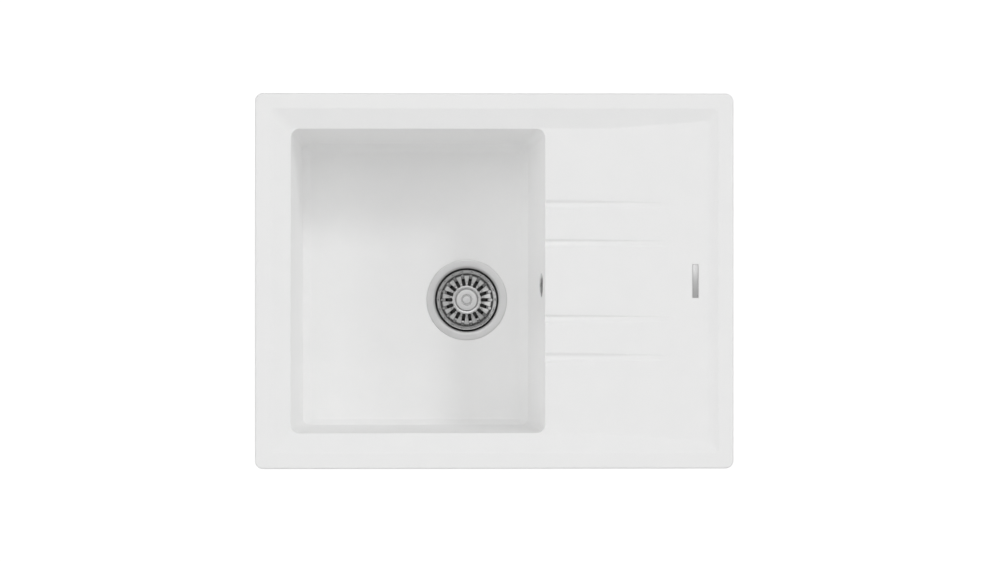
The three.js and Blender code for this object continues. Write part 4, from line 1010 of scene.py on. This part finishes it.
def waste_body():
    profile = rounded([
        (46.5, -12.9, 0.5), (46.5, -39.9, 5), (20, -53.9, 4), (20, -81.9, 0.5), (23.4, -81.9, 0.3),
    ], step=12)[:-1]
    profile += shaft(23.9, -80.6, -61, 0.38)
    profile += rounded([
        (23.9, -60), (23.9, -56.9, 3), (49.5, -42.9, 6), (49.5, -16.9, 1.5), (56, -16.9, 0.8),
        (56, -12.9, 0.4), (47, -12.9),
    ], step=12)
    shell = lathe("plastic_waste_body", profile, 120, radius_at=screw_thread(-80.8, -62, 2.3, 1.15, (23, 24)))
    ribs = []
    for i in range(16):
        rib = extruded([(49, -16), (55, -16.4), (55, -17.6), (51.2, -30), (49, -34)], -1, 1)
        ribs.append(placed(rib, turned("Z", 11.25 + i * 22.5) @ UPRIGHT))
    parts = [joined("ribs", ribs), rod(10, -57.9, -34.3)]
    parts += [placed(block(9, 20.8, -2, 2, -57.9, -53.9), turned("Z", 120 * i)) for i in range(3)]
    across = Matrix.Rotation(HOSE_ANGLE, 4, "Z") @ at(0, 0, SPIGOT_Z) @ turned("Y", 90)
    parts.append(placed(spigot(48, SPIGOT_END), across))
    fused(shell, *parts)
    cut(shell, placed(rod(SPIGOT_BORE_R, 40, 82), across), rod(6.7, -63, -29, 40))
    in_waste(shell, "plastic", "sink", "waste_body")


def knurled(radius, z, angle):
    """radius_at for lathe: slanting notches round the screw insert."""
    return radius - 0.22 * (math.cos(28 * angle + 2.2 * z) > 0.3) if radius > 6 else radius


def waste_seals():
    gasket = tube("rubber_flange_gasket", 49.7, 56.5, -2.5, -1.3)
    in_waste(gasket, "rubber", "sink", "flange_gasket")
    gasket = tube("rubber_body_gasket", 46.5, 55, -12.6, -10.1, 0.7)
    in_waste(gasket, "rubber", "sink", "waste_body_gasket")
    insert = tube("brass_screw_insert", 4.2, 6.4, -57.9, -34.3, 0.3, 168, knurled)
    in_waste(insert, "brass", "sink", "screw_insert", angle=20)


## Overflow


def in_overflow(piece, look, node):
    finished(placed(piece, OVERFLOW), look, "sink", node)


def overflow_cover():
    path = rounded([
        (2.8, 0.4), (4.9, 0.4, 0.2), (5.3, 1.6, 0.3), (8, 1.42, 9), (12, 0.95, 9), (15.3, 0.45, 2),
        (16.3, 0.25, 0.4), (16.4, -0.4),
    ], step=5)
    piece = slotted_sheet("steel_overflow_cover", path, 0.6, 6, 0.8, 7, 11.5, columns=10)
    in_overflow(bevelled(piece, 0.15), "polished", "overflow_cover")


def overflow_screw():
    head = rounded([(2.5, 0.5), (4.4, 0.5, 0.2), (4.75, 0.7, 0.2), (4.7, 1.5, 0.2), (0, 1.65)])
    profile = [(0, -24.1), (2.0, -24.1)] + shaft(2.5, -23.4, -0.6, 0.2) + head
    thread = screw_thread(-23.8, -4, 0.9, 0.35, (0, 2.6))
    piece = lathe("steel_overflow_screw", profile, 40, radius_at=thread)
    cut(piece, *cross_recess(1.0, 2.5, 0.9, 7))
    in_overflow(piece, "polished", "overflow_screw")


def overflow_seals():
    in_overflow(tube("foam_overflow_seal", 12.8, 15.4, -2.7, -0.8, 0.3), "foam", "overflow_cover_seal")
    gasket = tube("rubber_overflow_gasket", 12.5, 16.8, GASKET_BACK, GASKET_FRONT, 0.7)
    in_overflow(gasket, "rubber", "overflow_gasket")


def overflow_elbow():
    profile = rounded([
        (0, ELBOW_BACK), (ELBOW_R, ELBOW_BACK, 3.5), (ELBOW_R, ELBOW_FRONT - 3, 1.2),
        (16.8, ELBOW_FRONT - 3, 0.6), (16.8, ELBOW_FRONT, 0.3), (0, ELBOW_FRONT),
    ])
    body = lathe("plastic_overflow_elbow", profile)
    down = at(0, 0, ELBOW_AXIS) @ turned("Y", -90)
    fused(body, placed(spigot(8, ELBOW_SPIGOT_END), down))
    inside = rounded([(0, ELBOW_BACK + 2.2), (12.3, ELBOW_BACK + 2.2, 2), (12.3, 0), (0, 0)])
    chamber = lathe("chamber", inside, 64)
    cut(body, chamber, placed(rod(SPIGOT_BORE_R, 4.8, 50), down))
    fused(body, rod(4.8, ELBOW_BACK + 1.1, ELBOW_FRONT))
    cut(body, rod(2.8, -25.1, 0, 32))
    in_overflow(body, "plastic", "overflow_elbow")


def bezier(points, t):
    a, b, c, d = (np.array(p) for p in points)
    return a * (1 - t) ** 3 + 3 * b * t * (1 - t) ** 2 + 3 * c * t * t * (1 - t) + d * t ** 3


def hose_line():
    """Evenly spaced points along the hose's middle."""
    bend = [HOSE_START - UP * reach for reach in HOSE_HANDLES]
    bend += [HOSE_FINISH + OUTWARD * reach for reach in reversed(HOSE_HANDLES)]
    points = np.array([HOSE_START] + [bezier(bend, t) for t in np.linspace(0, 1, 300)] + [HOSE_FINISH])
    gone = np.concatenate([[0], np.cumsum(np.linalg.norm(np.diff(points, axis=0), axis=1))])
    samples = np.linspace(0, gone[-1], 8 * round(gone[-1] / HOSE_PITCH) + 1)
    return np.stack([np.interp(samples, gone, points[:, k]) for k in range(3)], 1), samples


def hose():
    middle, gone = hose_line()
    along = np.gradient(middle, axis=0)
    along /= np.linalg.norm(along, axis=1)[:, None]
    wave = np.cos(gone * TAU / HOSE_PITCH)
    rib = 11.9 - 0.7 * np.tanh(1.8 * wave) / math.tanh(1.8)
    side = np.array((0.0, 1.0, 0.0))
    angles = np.arange(32) * TAU / 32
    outer, inner = [], []
    for centre, direction, radius in zip(middle, along, rib):
        side = side - direction * (side @ direction)
        side /= np.linalg.norm(side)
        across = np.cross(direction, side)
        circle = np.outer(np.cos(angles), side) + np.outer(np.sin(angles), across)
        outer.append(centre + radius * circle)
        inner.append(centre + (radius - 1.3) * circle)
    piece = ring_piece("ribbed_overflow_hose", outer + inner[::-1])
    finished(piece, "plastic", "sink", "overflow_hose", 60)


def gripped(radius, z, angle):
    """radius_at for lathe: upright notches round a hose nut."""
    return radius - 0.55 * (math.cos(24 * angle) < -0.2) if radius > 15.6 and -10 < z < 0.6 else radius


def hose_nuts():
    ends = (("hose_nut_upper", HOSE_START, UP), ("hose_nut_lower", HOSE_FINISH, -OUTWARD))
    for node, place, direction in ends:
        profile = rounded([
            (9.2, 0.3), (9.2, 2.8, 0.4), (14.6, 2.8, 0.8), (16.1, 1.2, 0.6), (16.1, 0.5), (16.1, -9.9),
            (16.1, -10.6), (15.6, -11.2, 0.3), (13.2, -11.2), (13.2, 0.3),
        ], closed=True)
        turn = Vector((0, 0, 1)).rotation_difference(Vector(direction)).to_matrix().to_4x4()
        piece = placed(lathe(f"plastic_{node}", profile, 144, radius_at=gripped), at(*place) @ turn)
        finished(piece, "plastic", "sink", node, 25)


## Worktop clips

SCREW_X = -21
PLATE_FRONT = SCREW_X - 4.7


def bracket_pattern():
    strip = sheet_loop(rounded([(-13.5, -62), (-27.7, -62, 3), (-27.7, -14, 3), (-13.5, -14)]), 2)
    piece = placed(extruded(strip, -9, 9, "clip_bracket"), UPRIGHT)
    wing = rounded([(-22, -34, 4), (-8.9, -34), (-8.9, -15), (-22, -15, 4)], closed=True)
    fused(piece, placed(extruded(wing, PLATE_FRONT - 2, PLATE_FRONT), SIDEWAYS))
    screw_hole = placed(rod(2.8, -70, -5, 32), at(SCREW_X, 0, 0))
    cut(piece, screw_hole, placed(rod(2.4, -5, 5, 32), at(PLATE_FRONT, *FIXING) @ turned("Y", 90)))
    return bevelled(piece, 0.3)


def fixing_pattern():
    head = rounded([(2.1, 0.3), (3.7, 0.3, 0.2), (4, 0.8, 0.4), (3.2, 2.3, 1), (0, 2.5)])
    profile = [(0, -9), (0.5, -8.7), (1.7, -7.2)] + shaft(2.1, -6.6, -0.6, 0.2) + head
    thread = screw_thread(-8, -0.6, 1.5, 0.5, (1.8, 2.2))
    piece = lathe("bracket_fixing", profile, 32, radius_at=thread)
    cut(piece, *cross_recess(0.9, 2.1, 1.0, 4))
    return placed(piece, at(PLATE_FRONT, *FIXING) @ turned("Y", 90))


def clip_screw_pattern():
    head = rounded([(0, -65.8), (4.2, -65.8, 0.5), (5, -65, 0.5), (5, -62.6, 0.3), (4.7, -62.3)])
    profile = head + [(2.5, -62.3)] + shaft(2.5, -61.4, -11.4, 0.25) + [(1.9, -10.5), (0, -10.5)]
    thread = screw_thread(-61, -11, 1.0, 0.4, (0, 2.6))
    piece = lathe("clip_screw", profile, 28, radius_at=thread)
    cut(piece, *cross_recess(1.1, 2.9, -70, -64))
    return placed(piece, at(SCREW_X, 0, 0))


def claw_pattern():
    arm = rounded([(-1, -4, 0.8), (19, -4, 1), (19, 4, 1), (-1, 4, 0.8)], closed=True)
    piece = extruded(arm, -52, -47, "clip_claw")
    hub = lathe("hub", rounded([(0, -55), (4.2, -55, 0.6), (4.2, -46.8), (0, -46.8)]), 40)
    saw = [(16.6, -47.3), (16.9, -45), (17.5, -45.9), (18.0, -45), (18.6, -45.9), (18.9, -45), (19, -47.3)]
    fused(piece, hub, placed(extruded(saw, -3.6, 3.6), UPRIGHT))
    cut(piece, rod(2.8, -60, -40, 32))
    return placed(bevelled(piece, 0.2), at(SCREW_X, 0, 0))


def clips():
    patterns = {
        "clip_bracket": (bracket_pattern(), False),
        "bracket_fixing": (fixing_pattern(), False),
        "clip_screw": (clip_screw_pattern(), True),
        "clip_claw": (claw_pattern(), True),
    }
    for kind, (pattern, moves) in patterns.items():
        for corner, place in CLIPS.items():
            node = f"{kind}_{corner}"
            piece = linked(f"zinc_{node}", pattern.data)
            moved = place.copy()
            moved.translation *= MM
            piece.matrix_world = moved
            finished(piece, "zinc", node if moves else "sink", node)
        bpy.data.objects.remove(pattern)


## Seal under the rim, and the bare plate


def rim_seal():
    section = [  # distance from the rim's outer edge, and Z
        (4.0, 0.3), (4.05, 0.75), (4.5, 1.15), (6.5, 1.2), (8.5, 1.15), (8.95, 0.75), (9.0, 0.3), (8.7, 0),
        (4.3, 0),
    ]
    rings = [level_ring(grown(RIM, -inset)._replace(r=9), z) for inset, z in section]
    piece = ring_piece("foam_rim_seal", rings)
    finished(piece, "foam", "sink", "rim_seal", 50)


def bare_plate():
    x, y = PLATE_HALF
    piece = block(-x, x, -y, y, -0.5, 0.5, bevel=0.22, name="bare_steel_plate")
    finished(placed(piece, PLATE), "satin_brushed", "sink", "blank_plate")


for make in (
    basin, flange, basket, knob, centre_screw, post, stopper, stopper_nut, waste_body, waste_seals,
    overflow_cover, overflow_screw, overflow_seals, overflow_elbow, hose, hose_nuts, clips, rim_seal,
    bare_plate,
):
    make()

## Camera, light and the ground

CAMERA_AT = (-0.0646, 0, 3.9285)
CAMERA_AIM = (0.0073, 0, 0.0085)
CAMERA_LENS = 103.97
FLOOR_Z = -272.7
FLOOR_SIDE = 6000  # from its middle
FLOOR_GREY = 0.2
FLOOR_GLOW = 0.9  # to the eye and in reflections, but not on the sink
DOME = 0.411
LAMPS = {  # tilt from overhead, direction and width in degrees, and strength
    "overhead": (0, 0, 40, 0.02),
    "right": (56, 0, 50, 0.155),
    "left": (58, 180, 50, 0.215),
    "rear": (22, 90, 36, 0.115),
    "front": (62, -90, 50, 0.055),
    "key": (45, 45, 12, 0.145),
}


def camera():
    data = bpy.data.cameras.new("camera")
    data.sensor_width = 36
    data.lens = CAMERA_LENS
    data.clip_end = 20
    holder = linked("camera", data)
    holder.location = CAMERA_AT
    aim = Vector(CAMERA_AIM) - holder.location
    holder.rotation_euler = (0, -math.atan2(aim.x, -aim.z), 0)
    bpy.context.scene.camera = holder


def soft_light(name, tilt, towards, width, strength):
    """A sun lamp as a soft disc far off, tilted from overhead towards a direction in the XY plane."""
    data = bpy.data.lights.new(name, "SUN")
    data.angle = math.radians(width)
    data.energy = math.pi * strength
    holder = linked(name, data)
    holder.matrix_world = turned("Z", towards) @ turned("Y", tilt)
    holder.visible_glossy = name != "key"  # a lamp this small would show as a spot on the steel


def world():
    sky = bpy.data.worlds.new("sky")
    sky.use_nodes = True
    light = sky.node_tree.nodes["Background"].inputs
    light["Color"].default_value = (1, 1, 1, 1)
    light["Strength"].default_value = DOME
    bpy.context.scene.world = sky


def ground():
    """A white floor under the outlet that keeps the shadow of the sink."""
    corners = [(x * FLOOR_SIDE, y * FLOOR_SIDE, FLOOR_Z) for x, y in ((-1, -1), (1, -1), (1, 1), (-1, 1))]
    floor = linked("floor", mesh_from("floor", corners, [(0, 1, 2, 3)]))
    look = Look("floor_white")
    nodes = look.tree.nodes
    nodes.remove(look.place.node)
    nodes.remove(look.shader)
    paths = look.node("ShaderNodeLightPath").outputs
    seen = paths["Is Camera Ray"]
    for kind in ("Is Glossy Ray", "Is Transmission Ray"):
        seen = look.computed("ShaderNodeMath", "MAXIMUM", seen, paths[kind])
    strength = look.computed("ShaderNodeMath", "MULTIPLY", seen, FLOOR_GLOW)
    glow = look.feed(look.node("ShaderNodeEmission"), Strength=strength)
    matt = look.feed(look.node("ShaderNodeBsdfDiffuse"), Color=(*grey(FLOOR_GREY), 1))
    total = look.node("ShaderNodeAddShader")
    look.link(glow.outputs[0], total.inputs[0])
    look.link(matt.outputs[0], total.inputs[1])
    look.link(total.outputs[0], nodes["Material Output"].inputs["Surface"])
    floor.data.materials.append(look.material)


camera()
for lamp, setting in LAMPS.items():
    soft_light(lamp, *setting)
world()
ground()
bpy.context.scene.view_settings.view_transform = "Standard"
bpy.context.scene.cycles.diffuse_bounces = 10  # light goes round the white bowl many times
